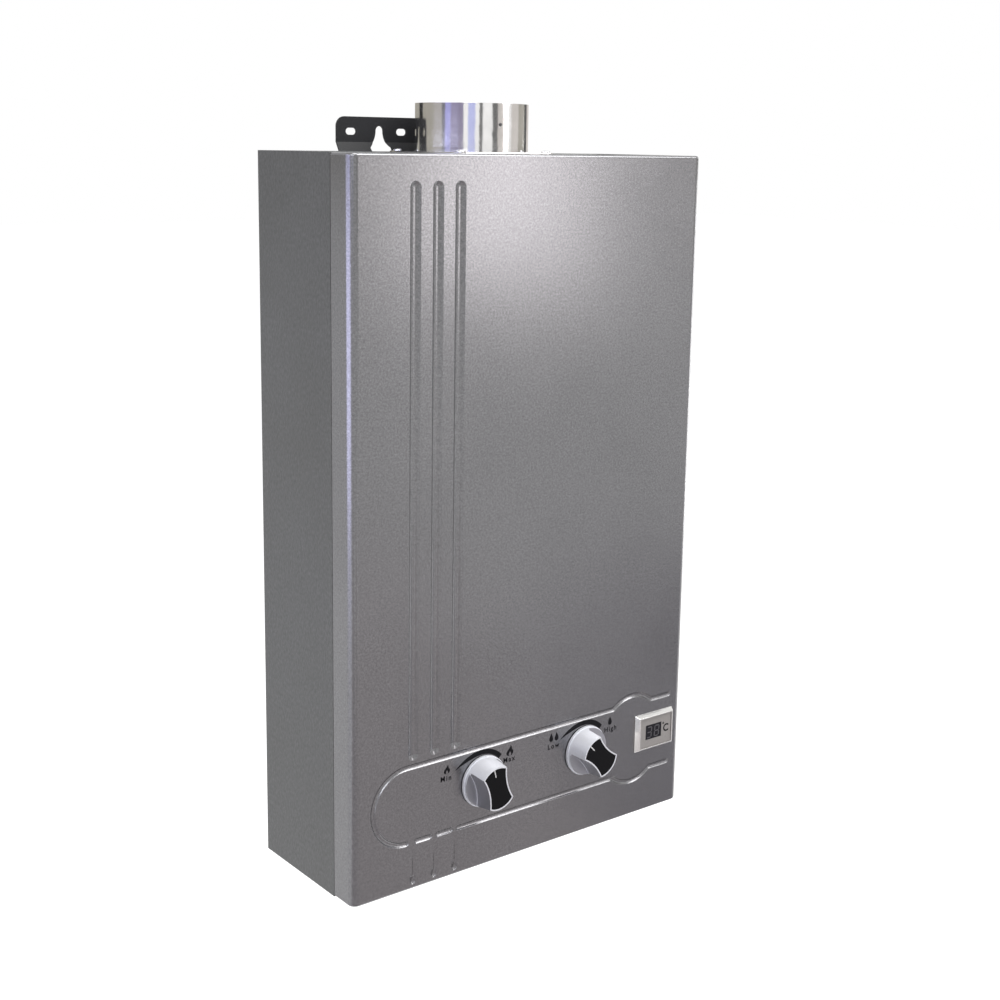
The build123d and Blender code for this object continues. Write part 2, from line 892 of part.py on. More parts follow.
def gas_riser():
    """Cast duct of square section from the gas valve's top to the manifold."""
    start_z = control_z + gas_body_height / 2
    start_y = valve_y - riser_forward
    level = start_z + burner_gap / 2
    points = [
        (gas_x, start_y, start_z),
        (gas_x, start_y, level),
        (gas_x, manifold_y, level),
        (gas_x, manifold_y, manifold_z - manifold_radius - manifold_boss),
    ]
    bore = riser_width - 2 * riser_wall
    section = Rectangle(riser_width, riser_width) - Rectangle(bore, bore)
    return pipe(points, section, riser_bend)


# Water valve


def water_valve_body():
    """Brass body behind the diaphragm, with ports for the inlet and the drain."""
    body = bar(water_body_radius, (water_left, water_right), valve_y, control_z)
    body += post(port_boss, water_x, valve_y, (water_port_z, control_z))
    body += post(pipe_radius + pipe_clearance, water_x, valve_y, (control_z, control_z + water_body_radius))
    body += peg(boss_radius, water_x, (boss_y, valve_y), control_z)
    body += post(drain_radius, drain_x, valve_y, (case_bottom, control_z))
    drain_z = (case_bottom - overrun, control_z - drain_knob)
    body -= post(drain_bore + spindle_run, drain_x, valve_y, drain_z)
    cavity = (water_left - overrun, water_left + cavity_depth)
    body -= bar(diaphragm_cavity, cavity, valve_y, control_z)
    return body - spindle_bore(water_x)


def water_valve_cover():
    """Front half of the diaphragm housing, with the rod's guide."""
    cover = bar(water_body_radius, (water_cover_left, diaphragm_left), valve_y, control_z)
    cavity = (diaphragm_left - cavity_depth, diaphragm_left + overrun)
    cover -= bar(diaphragm_cavity, cavity, valve_y, control_z)
    guide = (water_cover_left - overrun, diaphragm_left)
    return cover - bar(rod_radius + rod_run, guide, valve_y, control_z)


def diaphragm():
    """Rubber disc clamped between the two halves of the water valve."""
    return bar(water_body_radius, (diaphragm_left, water_left), valve_y, control_z)


# Push rod, yoke and microswitch


def push_rod():
    """Rod with the diaphragm's plate, a collar for the switch and the gas poppet."""
    plate_right = diaphragm_left - rod_plate_gap
    plate_left = plate_right - rod_plate_thickness
    poppet_right = gas_right - gas_seat_wall - rod_plate_gap
    poppet_left = poppet_right - poppet_thickness
    rod = bar(rod_radius, (poppet_left, plate_right), valve_y, control_z)
    rod += bar(rod_plate_radius, (plate_left, plate_right), valve_y, control_z)
    rod += bar(poppet_radius, (poppet_left, poppet_right), valve_y, control_z)
    collar_x = (collar_left(), collar_left() + rod_collar_thickness)
    return rod + bar(rod_collar_radius, collar_x, valve_y, control_z)


def collar_left():
    """Left face of the rod's collar, half way along the yoke."""
    return (gas_right + water_cover_left) / 2


def linkage_yoke():
    """Channel that ties the two valves together under the open rod."""
    floor = control_z - yoke_drop
    y = (valve_y - yoke_half_depth, valve_y + yoke_half_depth)
    yoke = span((gas_right, water_cover_left), y, (floor, control_z + yoke_half_depth))
    inner_x = (gas_right + yoke_thickness, water_cover_left - yoke_thickness)
    yoke -= span(inner_x, (y[0] - overrun, y[1] + overrun), (floor + yoke_thickness, control_z + yoke_drop))
    bore = (gas_right - overrun, water_cover_left + overrun)
    return yoke - bar(rod_radius + seat, bore, valve_y, control_z)


def lever_pivot():
    """Axis of the switch's lever, below and left of the rod's collar."""
    return collar_left() - lever_gap - lever_thickness / 2, control_z - lever_reach


def microswitch():
    """Switch on the yoke's floor, with two ears and the lever's pin."""
    x, z = lever_pivot()
    floor = control_z - yoke_drop + yoke_thickness
    top = min(floor + switch_height, z - lever_hub - seat)
    body_x = (x - switch_length / 2, x + switch_length / 2)
    body_y = (valve_y - switch_depth / 2, valve_y + switch_depth / 2)
    body = span(body_x, body_y, (floor, top))
    inner = lever_width / 2 + seat
    for side in (-1, 1):
        y = (valve_y + side * inner, valve_y + side * (inner + ear_thickness))
        body += span((x - lever_hub, x + lever_hub), y, (top, z + lever_hub))
    return body + peg(lever_pin, x, (valve_y - inner, valve_y + inner), z)


def switch_lever():
    """Blade that the rod's collar pushes over."""
    x, z = lever_pivot()
    y = (valve_y - lever_width / 2, valve_y + lever_width / 2)
    blade_x = (x - lever_thickness / 2, x + lever_thickness / 2)
    blade = span(blade_x, y, (z, control_z - rod_radius - lever_gap))
    hub = peg(lever_hub, x, y, z)
    return blade + hub - peg(lever_pin + rod_run, x, (y[0] - overrun, y[1] + overrun), z)


# Burner


def burner_places():
    """Burner rows across the tray."""
    half = exchanger_half - burner_wall - burner_row_width
    return row(burner_count, -half, half)


def burner_tray():
    """Open tray under the exchanger, with an opening in front of each row's throat."""
    y = (exchanger_front, exchanger_back)
    body = span((-exchanger_half, exchanger_half), y, (burner_bottom, burner_top))
    inside = exchanger_half - burner_wall
    inside_y = (y[0] + burner_wall, y[1] - burner_wall)
    body -= span((-inside, inside), inside_y, (burner_bottom + burner_wall, burner_top + overrun))
    opening = (y[0] - overrun, y[0] + burner_wall + overrun)
    return body - [peg(burner_throat, x, opening, manifold_z) for x in burner_places()]


def burner_rows():
    """Flat burners with a throat in front and a row of flame ports along the top."""
    floor = burner_bottom + burner_wall
    y = (exchanger_front + burner_wall + seat, exchanger_back - burner_wall - seat)
    top = floor + burner_row_height
    port_y = (y[0] + burner_row_width, y[1] - burner_row_width)
    throat = (y[0] - overrun, y[0] + burner_row_wall + overrun)
    rows = []
    for x in burner_places():
        blade = burner_blade(x, y, (floor, top), 0) - burner_blade(x, y, (floor, top), burner_row_wall)
        port_x = (x - burner_port / 2, x + burner_port / 2)
        blade -= span(port_x, port_y, (top - burner_port_depth, top + overrun))
        rows.append(blade - peg(burner_throat, x, throat, manifold_z))
    return group(rows)


def burner_blade(x, y, z, inset):
    """Upright blade with sloped shoulders, drawn in by an inset."""
    half = burner_row_width / 2 - inset
    blade = span((x - half, x + half), (y[0] + inset, y[1] - inset), (z[0] + inset, z[1] - inset))
    shoulders = blade.edges().filter_by(Axis.Y).group_by(Axis.Z)[-1]
    return chamfer(shoulders, half / 2)


def gas_manifold():
    """Gas rail along the front of the tray, with a boss for the riser, closed at both ends."""
    end = burner_places()[-1] + burner_row_width / 2
    boss_z = (manifold_z - manifold_radius - manifold_boss, manifold_z - manifold_radius / 2)
    rail = bar(manifold_radius, (-end, end), manifold_y, manifold_z)
    side = riser_width / 2
    rail += span((gas_x - side, gas_x + side), (manifold_y - side, manifold_y + side), boss_z)
    inner = end - burner_wall
    return rail - bar(manifold_radius - burner_wall, (-inner, inner), manifold_y, manifold_z)


def gas_jets():
    """Jets from the rail into each burner's throat."""
    jets = []
    for x in burner_places():
        jet = peg(jet_radius, x, (manifold_y, exchanger_front + burner_wall), manifold_z)
        rail_x = (x - manifold_radius, x + manifold_radius)
        jets.append(jet - bar(manifold_radius, rail_x, manifold_y, manifold_z))
    return group(jets)


# Heat exchanger


def fin_tube_rows():
    """Rows of the finned tube, from front to back."""
    return [exchanger_y + fin_tube_pitch * i for i in (-1, 0, 1)]


def duct_outline(inset, corner):
    """Rounded outline of the duct, drawn in by an inset."""
    depth = exchanger_back - exchanger_front
    return RectangleRounded(2 * (exchanger_half - inset), depth - 2 * inset, corner - inset)


def exchanger_shell():
    """Copper duct over the burner, with holes for the tube and the electrodes."""
    corner = pipe_bend - pipe_radius - pipe_clearance
    shell = duct_outline(0, corner) - duct_outline(exchanger_wall, corner)
    shell = extrude(Pos(0, exchanger_y, burner_top) * shell, exchanger_height)
    across = (-exchanger_half - overrun, exchanger_half + overrun)
    shell -= [bar(fin_tube_radius + seat, across, row_y, fin_tube_z) for row_y in fin_tube_rows()]
    front_wall = (exchanger_front - overrun, exchanger_front + exchanger_wall + overrun)
    return shell - [peg(ceramic_radius + seat, x, front_wall, electrode_z()) for x in electrode_places()]


def exchanger_fins():
    """Copper fins on the tube, side by side across the duct."""
    depth = exchanger_wall + seat
    y = (exchanger_front + depth, exchanger_back - depth)
    z = (fin_tube_z - fin_height / 2, fin_tube_z + fin_height / 2)
    end = exchanger_half * (fin_count - 1) / (fin_count + 1)
    fins = []
    for x in row(fin_count, -end, end):
        width = (x - fin_thickness / 2, x + fin_thickness / 2)
        through = (x - overrun, x + overrun)
        holes = [bar(fin_tube_radius + seat, through, row_y, fin_tube_z) for row_y in fin_tube_rows()]
        fins.append(span(width, y, z) - holes)
    return group(fins)


def exchanger_tube():
    """Tube that crosses the duct three times, with a bend outside each wall."""
    first, middle, last = fin_tube_rows()
    out = exchanger_half + fin_tube_reach + fin_tube_pitch / 2
    ends = exchanger_half + fin_tube_reach
    points = [
        (ends, first, fin_tube_z),
        (-out, first, fin_tube_z),
        (-out, middle, fin_tube_z),
        (out, middle, fin_tube_z),
        (out, last, fin_tube_z),
        (-ends, last, fin_tube_z),
    ]
    return pipe(points, Circle(fin_tube_radius), fin_tube_pitch / 2 - seat)


def feed_pipe():
    """Cold pipe from the water valve, once round the chamber and up to the finned tube."""
    off = pipe_radius + pipe_clearance
    right = exchanger_half + off
    outer = right + riser_offset
    front_run = exchanger_front - off
    back_run = exchanger_back + off
    level = burner_top + coil_rise
    first = fin_tube_rows()[0]
    outlet = control_z + water_body_radius
    turn = outlet + pipe_bend + pipe_clearance
    points = [
        (water_x, valve_y, outlet),
        (water_x, valve_y, turn),
        (right, valve_y, turn),
        (right, valve_y, level),
        (right, front_run, level),
        (-right, front_run, level + coil_climb),
        (-right, back_run, level + coil_climb),
        (outer, back_run, level + 2 * coil_climb),
        (outer, first, level + 2 * coil_climb),
        (outer, first, fin_tube_z),
        (exchanger_half + fin_tube_reach, first, fin_tube_z),
    ]
    return pipe(points, Circle(pipe_radius), pipe_bend)


def hot_pipe():
    """Hot pipe from the finned tube down past the burner and in to the outlet."""
    last = fin_tube_rows()[-1]
    level = burner_top
    jog = water_port_z + 2 * pipe_bend
    points = [
        (-exchanger_half - fin_tube_reach, last, fin_tube_z),
        (hot_x, last, fin_tube_z),
        (hot_x, last, level),
        (hot_x, valve_y, level - (last - valve_y)),
        (hot_x, valve_y, jog + outlet_jog),
        (outlet_x, valve_y, jog),
        (outlet_x, valve_y, water_port_z),
    ]
    return pipe(points, Circle(pipe_radius), pipe_bend)


def electrode_places():
    """Ignition electrode and flame sensor, either side of the flue's axis."""
    return -electrode_spacing / 2, electrode_spacing / 2


def electrode_z():
    """Height of both electrodes above the burner."""
    return burner_top + electrode_rise


def electrode(x):
    """Ceramic sleeve through the duct's front wall with a needle over the flames."""
    inner = exchanger_front + exchanger_wall + ceramic_inside
    sleeve = peg(ceramic_radius, x, (exchanger_front - ceramic_outside, inner), electrode_z())
    return sleeve + peg(needle_radius, x, (inner, inner + needle_length), electrode_z())


def overheat_switch():
    """Bimetal switch on the duct's left wall."""
    x = (-exchanger_half - overheat_thickness, -exchanger_half)
    return bar(overheat_radius, x, exchanger_y, fin_tube_z - overheat_drop)


# Igniter and batteries


def igniter_box():
    """Spark and control box on the casing's back."""
    x0 = left_x + sheet + igniter_from_side
    z0 = floor_z + igniter_from_bottom
    y = (back_y - sheet - igniter_depth, back_y - sheet)
    box = span((x0, x0 + igniter_width), y, (z0, z0 + igniter_height))
    return fillet(box.edges().filter_by(Axis.Y), bend_radius)


def battery_limits(border):
    """Limits of the battery bay in X and Y, widened by a border."""
    x = (battery_left - border, battery_right + border)
    y = (battery_back - battery_bay_depth - border, battery_back + border)
    return x, y


def battery_box():
    """Box open below, with a flange under the bottom panel and rails for the lid."""
    x, y = battery_limits(battery_wall)
    flange_z = (bottom_deck - battery_flange_thickness, bottom_deck)
    roof = bottom_deck + battery_bay_height
    box = span(x, y, (flange_z[0], roof + battery_wall))
    wide_x, wide_y = battery_limits(battery_flange)
    box += span(wide_x, wide_y, flange_z)
    rail_z = (lid_bottom() - lid_run - battery_rail, flange_z[0])
    lip_z = (rail_z[0], rail_z[0] + battery_rail)
    for side, edge in ((1, wide_x[0]), (-1, wide_x[1])):
        box += span((edge, edge + side * battery_rail), wide_y, rail_z)
        box += span((edge, edge + side * (battery_rail + lid_lip)), wide_y, lip_z)
    return box - span(*battery_limits(0), (flange_z[0] - overrun, roof))


def lid_bottom():
    """Underside of the battery lid."""
    return bottom_deck - battery_flange_thickness - lid_run - lid_thickness


def battery_lid():
    """Lid that slides forward between the rails, with ribs for the thumb."""
    wide_x, wide_y = battery_limits(battery_flange)
    edge = battery_rail + lid_run
    x = (wide_x[0] + edge, wide_x[1] - edge)
    z = (lid_bottom(), lid_bottom() + lid_thickness)
    lid = span(x, wide_y, z)
    middle = sum(x) / 2
    grip_half = battery_bay_width / 4
    for i in range(lid_grips):
        y = wide_y[0] + lid_grip_pitch * (i + 1)
        grip_y = (y - lid_grip_height, y + lid_grip_height)
        lid += span((middle - grip_half, middle + grip_half), grip_y, (z[0] - lid_grip_height, z[0]))
    return lid


def battery_contacts():
    """Contact plates at the two ends of the bay."""
    x, y = battery_limits(0)
    z0 = bottom_deck + (battery_bay_height - contact_height) / 2
    plates = []
    for centre in (x[0] + battery_bay_width / 4, x[1] - battery_bay_width / 4):
        wide = (centre - contact_width / 2, centre + contact_width / 2)
        for near, inward in ((y[0], 1), (y[1], -1)):
            plates.append(span(wide, (near, near + inward * contact_thickness), (z0, z0 + contact_height)))
    return group(plates)


def cover_screw_places():
    """Screws through the cover's lower skirt into the bottom panel."""
    y = seam_y - lap / 2
    return [(case_x - cover_screw_offset, y), (case_x + cover_screw_offset, y)]


def cover_screws():
    """Screws that hold the cover from below."""
    return group(screw((x, y, case_bottom), -1) for x, y in cover_screw_places())


gas_place = knob_place(gas_knob_offset, gas_pointer_angle)
water_place = knob_place(water_knob_offset, water_pointer_angle)
left_electrode, right_electrode = electrode_places()

nodes = {
    "rear_case": rear_case(),
    "front_cover": front_cover(),
    "top_panel": top_panel(),
    "bottom_panel": bottom_panel(),
    "upper_bracket": upper_bracket(),
    "lower_bracket": lower_bracket(),
    "bracket_rivets": bracket_rivets(),
    "cover_screws": cover_screws(),
    "flue_collar": flue_collar(),
    "collar_flange": collar_flange(),
    "collar_gasket": collar_gasket(),
    "collar_screws": collar_screws(),
    "exhaust_hood": exhaust_hood(),
    "gas_knob": gas_place * knob(),
    "gas_knob_plate": gas_place * knob_plate_insert(),
    "gas_spindle": spindle(gas_x),
    "water_knob": water_place * knob(),
    "water_knob_plate": water_place * knob_plate_insert(),
    "water_spindle": spindle(water_x),
    "display_bezel": display_bezel(),
    "display_plate": display_plate(),
    "display_window": display_window(),
    "display_housing": display_housing(),
    "display_board": display_board(),
    "gas_inlet": stub(gas_x, control_z - gas_body_height / 2),
    "water_inlet": stub(water_x, water_port_z),
    "hot_outlet": stub(outlet_x, water_port_z),
    "drain_plug": drain_plug(),
    "gas_valve_body": gas_valve_body(),
    "solenoid_valve": solenoid_valve(),
    "gas_riser": gas_riser(),
    "water_valve_body": water_valve_body(),
    "water_valve_cover": water_valve_cover(),
    "diaphragm": diaphragm(),
    "push_rod": push_rod(),
    "linkage_yoke": linkage_yoke(),
    "microswitch": microswitch(),
    "switch_lever": switch_lever(),
    "burner_tray": burner_tray(),
    "burner_rows": burner_rows(),
    "gas_manifold": gas_manifold(),
    "gas_jets": gas_jets(),
    "exchanger_shell": exchanger_shell(),
    "exchanger_fins": exchanger_fins(),
    "exchanger_tube": exchanger_tube(),
    "feed_pipe": feed_pipe(),
    "hot_pipe": hot_pipe(),
    "ignition_electrode": electrode(left_electrode),
    "flame_sensor": electrode(right_electrode),
    "overheat_switch": overheat_switch(),
    "igniter_box": igniter_box(),
    "battery_box": battery_box(),
    "battery_lid": battery_lid(),
    "battery_contacts": battery_contacts(),
}

os.makedirs("parts", exist_ok=True)
for name, shape in nodes.items():
    export_step(shape, f"parts/{name}.step")
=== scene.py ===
"""Dresses the wall-hung gas water heater: pressed cover, knobs, display, flue collar, prints and finishes."""

import json
import math

import bmesh
import bpy
from bpy.props import FloatProperty, FloatVectorProperty, PointerProperty
from mathutils import Matrix, Vector


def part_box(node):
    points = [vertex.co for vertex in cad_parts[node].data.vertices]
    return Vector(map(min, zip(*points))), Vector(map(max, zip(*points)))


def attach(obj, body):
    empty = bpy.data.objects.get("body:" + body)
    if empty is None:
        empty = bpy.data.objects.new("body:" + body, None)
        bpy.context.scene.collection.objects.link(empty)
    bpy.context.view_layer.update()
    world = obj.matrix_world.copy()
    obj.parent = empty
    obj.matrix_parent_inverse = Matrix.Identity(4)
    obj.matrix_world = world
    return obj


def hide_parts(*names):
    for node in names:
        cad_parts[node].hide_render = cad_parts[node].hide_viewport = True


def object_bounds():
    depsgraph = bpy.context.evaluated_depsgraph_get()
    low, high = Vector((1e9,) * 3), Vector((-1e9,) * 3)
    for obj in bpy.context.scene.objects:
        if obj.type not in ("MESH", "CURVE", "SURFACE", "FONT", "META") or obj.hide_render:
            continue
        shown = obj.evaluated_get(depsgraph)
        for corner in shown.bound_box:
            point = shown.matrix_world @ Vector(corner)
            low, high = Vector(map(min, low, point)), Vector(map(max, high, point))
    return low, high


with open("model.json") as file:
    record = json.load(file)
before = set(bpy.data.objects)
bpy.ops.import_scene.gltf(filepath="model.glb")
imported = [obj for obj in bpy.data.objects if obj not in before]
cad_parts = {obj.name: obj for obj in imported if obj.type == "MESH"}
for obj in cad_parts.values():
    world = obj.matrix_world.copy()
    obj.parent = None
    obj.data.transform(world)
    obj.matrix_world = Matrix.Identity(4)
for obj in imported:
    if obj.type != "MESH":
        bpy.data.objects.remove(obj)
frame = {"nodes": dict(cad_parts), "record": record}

bl_info = {
    "name": "Wall-hung gas water heater",
    "version": (1, 0, 0),
    "blender": (4, 5, 0),
    "location": "View3D > Sidebar > Water heater",
    "description": "Models the pressed cover, knobs, display, collar, prints and finishes of a gas water heater",
    "category": "Object",
}

CAD_BOX = [list(corner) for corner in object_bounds()]
COVER_LOW, COVER_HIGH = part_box("front_cover")
FACE_Y = COVER_LOW.y
MIDDLE_X = (COVER_LOW.x + COVER_HIGH.x) / 2
FOOT_Z = COVER_LOW.z
HEART = (Vector(CAD_BOX[0]) + Vector(CAD_BOX[1])) / 2
MM = 0.001
NEAR = 1e-5


def middle(node):
    """Middle of a solid's box."""
    low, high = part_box(node)
    return (low + high) / 2


def on_face(node):
    """Place on the cover's face in front of a solid's middle."""
    at = middle(node)
    return Vector((at.x, FACE_Y, at.z))


def spot_of(node):
    """Place of a solid's middle on the cover, from the cover's middle and foot."""
    at = middle(node)
    return at.x - MIDDLE_X, at.z - FOOT_Z


def out_of(node):
    """How far a solid stands out of the cover's face."""
    return FACE_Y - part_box(node)[0].y


# Sizes and finishes


def length(description, default):
    """Length in metres."""
    return FloatProperty(description=description, default=default, unit="LENGTH", precision=5)


def turning(description, degrees):
    """Angle, given in degrees."""
    return FloatProperty(description=description, default=math.radians(degrees), subtype="ANGLE")


class CoverSizes(bpy.types.PropertyGroup):
    """Sizes of the pressed cover"""

    corner: length("Radius of the cover's upright edges", 0.007)
    rim: length("Radius where the face turns into the top and bottom", 0.0024)
    sheet: length("Thickness of the sheet", 0.0008)
    lip: length("Rounding on each side of a groove", 0.0006)
    opening: length("Radius of the openings for the knobs' spindles", 0.006)
    rib_width: length("Width of the upright ribs", 0.0094)
    rib_depth: length("Depth of the upright ribs", 0.0016)
    foot_width: length("Width of the ribs below the outline", 0.0054)
    foot_depth: length("Depth of the ribs below the outline, at their lower ends", 0.0014)
    line_width: length("Width of the groove round the controls", 0.0046)
    line_depth: length("Depth of the groove round the controls", 0.0014)
    line_top: length("Height of the upper run of the outline", 0.106)
    line_bottom: length("Height of the lower run of the outline", 0.041)
    wave_half: length("Half the length of the wave in the outline", 0.0225)
    wave_rise: length("Height of the wave in the outline", 0.0082)
    wave_kink: length("Radius where the wave meets the straight run", 0.004)


class KnobSizes(bpy.types.PropertyGroup):
    """Sizes of the two knobs"""

    gap: length("Space between the cover and the knob", 0.0008)
    height: length("Height of the knob's rim above the cover", 0.022)
    skirt_radius: length("Radius of the skirt at the foot", 0.022)
    skirt: length("Height of the skirt", 0.002)
    step: length("Step between skirt and body", 0.0007)
    face_radius: length("Radius of the knob's face", 0.0188)
    waist: length("Half width of the face at its waist", 0.010)
    scoop: length("Radius of the two scooped sides", 0.0426)
    ledge: length("Height where the scoops start", 0.0052)
    bead: length("Width and height of the bead at the foot of a scoop", 0.0014)
    rim: length("Width of the bright rim round the face plate", 0.0011)
    recess: length("Depth of the face plate's recess", 0.001)
    edge: length("Width of the rounded edges", 0.0005)
    pointer: length("Length of the white pointer", 0.0065)


class DisplaySizes(bpy.types.PropertyGroup):
    """Sizes of the display"""

    bevel: length("Width of the bezel's sloping sides", 0.0025)
    rim: length("Width of the bezel's flat rim", 0.001)
    digit_height: length("Height of a digit", 0.0108)
    digit_width: length("Width of a digit", 0.0062)
    stroke: length("Width of a digit's bars", 0.0011)


def surface(name, colour, metallic, gloss, dull, grain, bump, fleck, cloud, coat=0.0, specular=0.5):
    """A finish: name, colour, metallic, roughness low and high, grain in millimetres, even or along X, Y and Z,
    bump in micrometres, light and dark in the grain and in the broad clouds, coat and specular level."""
    grain = grain if isinstance(grain, tuple) else (grain, grain, grain)
    scale, bump = tuple(1 / (size * MM) for size in grain), bump * MM / 1000
    return name, colour, (metallic, gloss, dull, scale, bump, fleck, cloud, coat, specular)


FINISHES = {
    "cover_paint": surface(
        "Silver paint of the cover", (0.200, 0.198, 0.204), 0.90, 0.23, 0.26, 1.6, 6, 0.20, 0.05
    ),
    "case_paint": surface(
        "Grey paint of the case", (0.163, 0.165, 0.162), 0.15, 0.42, 0.52, (1.6, 1.6, 3.2), 20, 0.26, 0.14
    ),
    "zinc_sheet": surface("Zinc-coated sheet", (0.46, 0.47, 0.48), 0.95, 0.30, 0.44, 6.0, 10, 0.22, 0.10),
    "bracket_paint": surface(
        "Paint of the brackets", (0.020, 0.020, 0.021), 0.0, 0.44, 0.56, 0.8, 20, 0.25, 0.15, specular=0.20
    ),
    "bright_steel": surface("Plated screws and rivets", (0.62, 0.62, 0.64), 1.0, 0.16, 0.26, 1.2, 3, 0.10, 0.10),
    "stainless": surface(
        "Polished collar", (0.75, 0.74, 0.73), 1.0, 0.09, 0.14, (14.0, 14.0, 20.0), 120, 0.05, 0.10
    ),
    "gasket": surface("Fibre gasket", (0.20, 0.19, 0.18), 0.0, 0.80, 0.95, 0.6, 80, 0.35, 0.20, specular=0.3),
    "knob_silver": surface("Silver of the knobs", (0.86, 0.87, 0.92), 0.25, 0.34, 0.40, 0.6, 2, 0.04, 0.03),
    # The scooped sides carry painted shade: the knobs' own silver made darker where the scoops face away from the
    # light
    "knob_scoop_painted_shade": surface("Scooped sides of the knobs", (0.36, 0.36, 0.39), 0.60, 0.34, 0.40, 0.6, 2, 0.05, 0.04),
    "face_black": surface(
        "Plates in the knobs", (0.006, 0.006, 0.007), 0.0, 0.30, 0.38, 0.5, 2, 0.25, 0.10, specular=0.08
    ),
    "bezel_chrome": surface("Plated bezel", (0.74, 0.73, 0.71), 1.0, 0.06, 0.12, 1.0, 1, 0.04, 0.08),
    "display_grey": surface(
        "Plate of the display", (0.33, 0.31, 0.30), 0.10, 0.42, 0.55, 0.5, 8, 0.12, 0.08, specular=0.4
    ),
    "lens_dark": surface(
        "Window of the display", (0.022, 0.021, 0.025), 0.0, 0.12, 0.20, 0.6, 1, 0.20, 0.10, specular=0.12
    ),
    "black_plastic": surface(
        "Moulded plastic", (0.022, 0.022, 0.023), 0.0, 0.42, 0.56, 0.6, 30, 0.25, 0.12, specular=0.4
    ),
    "board_green": surface("Circuit board", (0.02, 0.11, 0.05), 0.0, 0.30, 0.42, 3.0, 30, 0.25, 0.20),
    "brass": surface("Machined brass", (0.60, 0.43, 0.18), 1.0, 0.20, 0.34, (6.0, 6.0, 0.4), 6, 0.10, 0.12),
    "die_cast": surface("Die-cast aluminium", (0.46, 0.46, 0.46), 0.85, 0.42, 0.58, 0.8, 40, 0.16, 0.10),
    "copper": surface("Copper tube and sheet", (0.66, 0.31, 0.19), 1.0, 0.20, 0.40, 3.0, 8, 0.16, 0.25),
    "ceramic": surface("Glazed ceramic", (0.78, 0.76, 0.70), 0.0, 0.14, 0.24, 1.0, 6, 0.06, 0.05, coat=0.3),
    "ink": surface("Print on the cover", (0.006, 0.006, 0.008), 0.0, 0.45, 0.55, 0.4, 2, 0.25, 0.10, specular=0.10),
    "mark": surface("Pointers on the knobs", (0.80, 0.80, 0.80), 0.0, 0.35, 0.48, 0.4, 2, 0.06, 0.05),
    "digit": surface(
        "Bars of the digits", (0.105, 0.100, 0.110), 0.0, 0.30, 0.40, 0.4, 1, 0.12, 0.10, specular=0.12
    ),
}


class FinishColours(bpy.types.PropertyGroup):
    """Colours of the finishes, named as the material slots are"""

    __annotations__ = {
        slot: FloatVectorProperty(description=name, default=colour, min=0, max=1, subtype="COLOR")
        for slot, (name, colour, _) in FINISHES.items()
    }


class StageSettings(bpy.types.PropertyGroup):
    """Camera, lamps and floor"""

    camera: FloatVectorProperty(
        description="Where the camera stands", default=(-0.7724, -1.0872, -0.0087), subtype="XYZ", unit="LENGTH"
    )
    yaw: turning("Turn to the right", 38.136)
    pitch: turning("Tilt down", 10.97)
    roll: turning("Tilt to one side", 0.881)
    lens: FloatProperty(description="Focal length in millimetres", default=54.913)
    shift: FloatProperty(description="Upward shift as a share of the frame", default=-0.06)
    drop: length("Space between the heater and the floor", 0.30)


# Modelling helpers


def face_point(offset, height, out=0):
    """Place on the cover's face, from its middle and foot, some way out of it."""
    return Vector((MIDDLE_X + offset, FACE_Y - out, FOOT_Z + height))


def face_turn(place, angle=0):
    """Turns a piece drawn flat, its Z out of the face, to stand at a place on the cover."""
    return Matrix.Translation(place) @ Matrix.Rotation(math.pi / 2, 4, "X") @ Matrix.Rotation(angle, 4, "Z")


def only(*pieces):
    """Selects these pieces alone, the first one active."""
    if bpy.context.mode != "OBJECT":
        bpy.ops.object.mode_set(mode="OBJECT")
    bpy.ops.object.select_all(action="DESELECT")
    for piece in pieces:
        piece.select_set(True)
    bpy.context.view_layer.objects.active = pieces[0]


def shape(piece):
    """Opens a piece for shaping."""
    only(piece)
    bpy.ops.object.mode_set(mode="EDIT")


def close():
    """Ends the shaping."""
    bpy.ops.object.mode_set(mode="OBJECT")


def choose(kind, test):
    """Selects the faces or edges for which the test holds."""
    bpy.ops.mesh.select_mode(type=kind)
    bpy.ops.mesh.select_all(action="DESELECT")
    mesh = bpy.context.object.data
    edited = bmesh.from_edit_mesh(mesh)
    for element in {"FACE": edited.faces, "EDGE": edited.edges}[kind]:
        if test(element):
            element.select_set(True)
    edited.select_flush_mode()
    bmesh.update_edit_mesh(mesh)


def draw(points):
    """Draws a closed line through the points in the shaped mesh and leaves it selected."""
    bpy.ops.mesh.select_mode(type="EDGE")
    bpy.ops.mesh.select_all(action="DESELECT")
    mesh = bpy.context.object.data
    edited = bmesh.from_edit_mesh(mesh)
    spots = [edited.verts.new(p) for p in points]
    for a, b in zip(spots, spots[1:] + spots[:1]):
        edited.edges.new((a, b)).select_set(True)
    edited.select_flush_mode()
    bmesh.update_edit_mesh(mesh)


def circle(centre, radius, count):
    """Points round a circle."""
    turns = [2 * math.pi * i / count for i in range(count)]
    return [(centre[0] + radius * math.cos(t), centre[1] + radius * math.sin(t)) for t in turns]


def begun(name):
    """Piece that was just added, with its name and its place in its mesh."""
    piece = bpy.context.object
    piece.name = piece.data.name = name
    bpy.ops.object.transform_apply(location=True, rotation=True, scale=True)
    return piece


def block(name, low, high):
    """Block between two corners."""
    low, high = Vector(low), Vector(high)
    bpy.ops.mesh.primitive_cube_add(size=1, location=(low + high) / 2, scale=high - low)
    return begun(name)


def drum(name, radius, low, high, place=(0, 0), sides=96):
    """Upright round bar between two heights."""
    bpy.ops.mesh.primitive_cylinder_add(
        vertices=sides, radius=radius, depth=high - low, location=(*place, (low + high) / 2)
    )
    return begun(name)


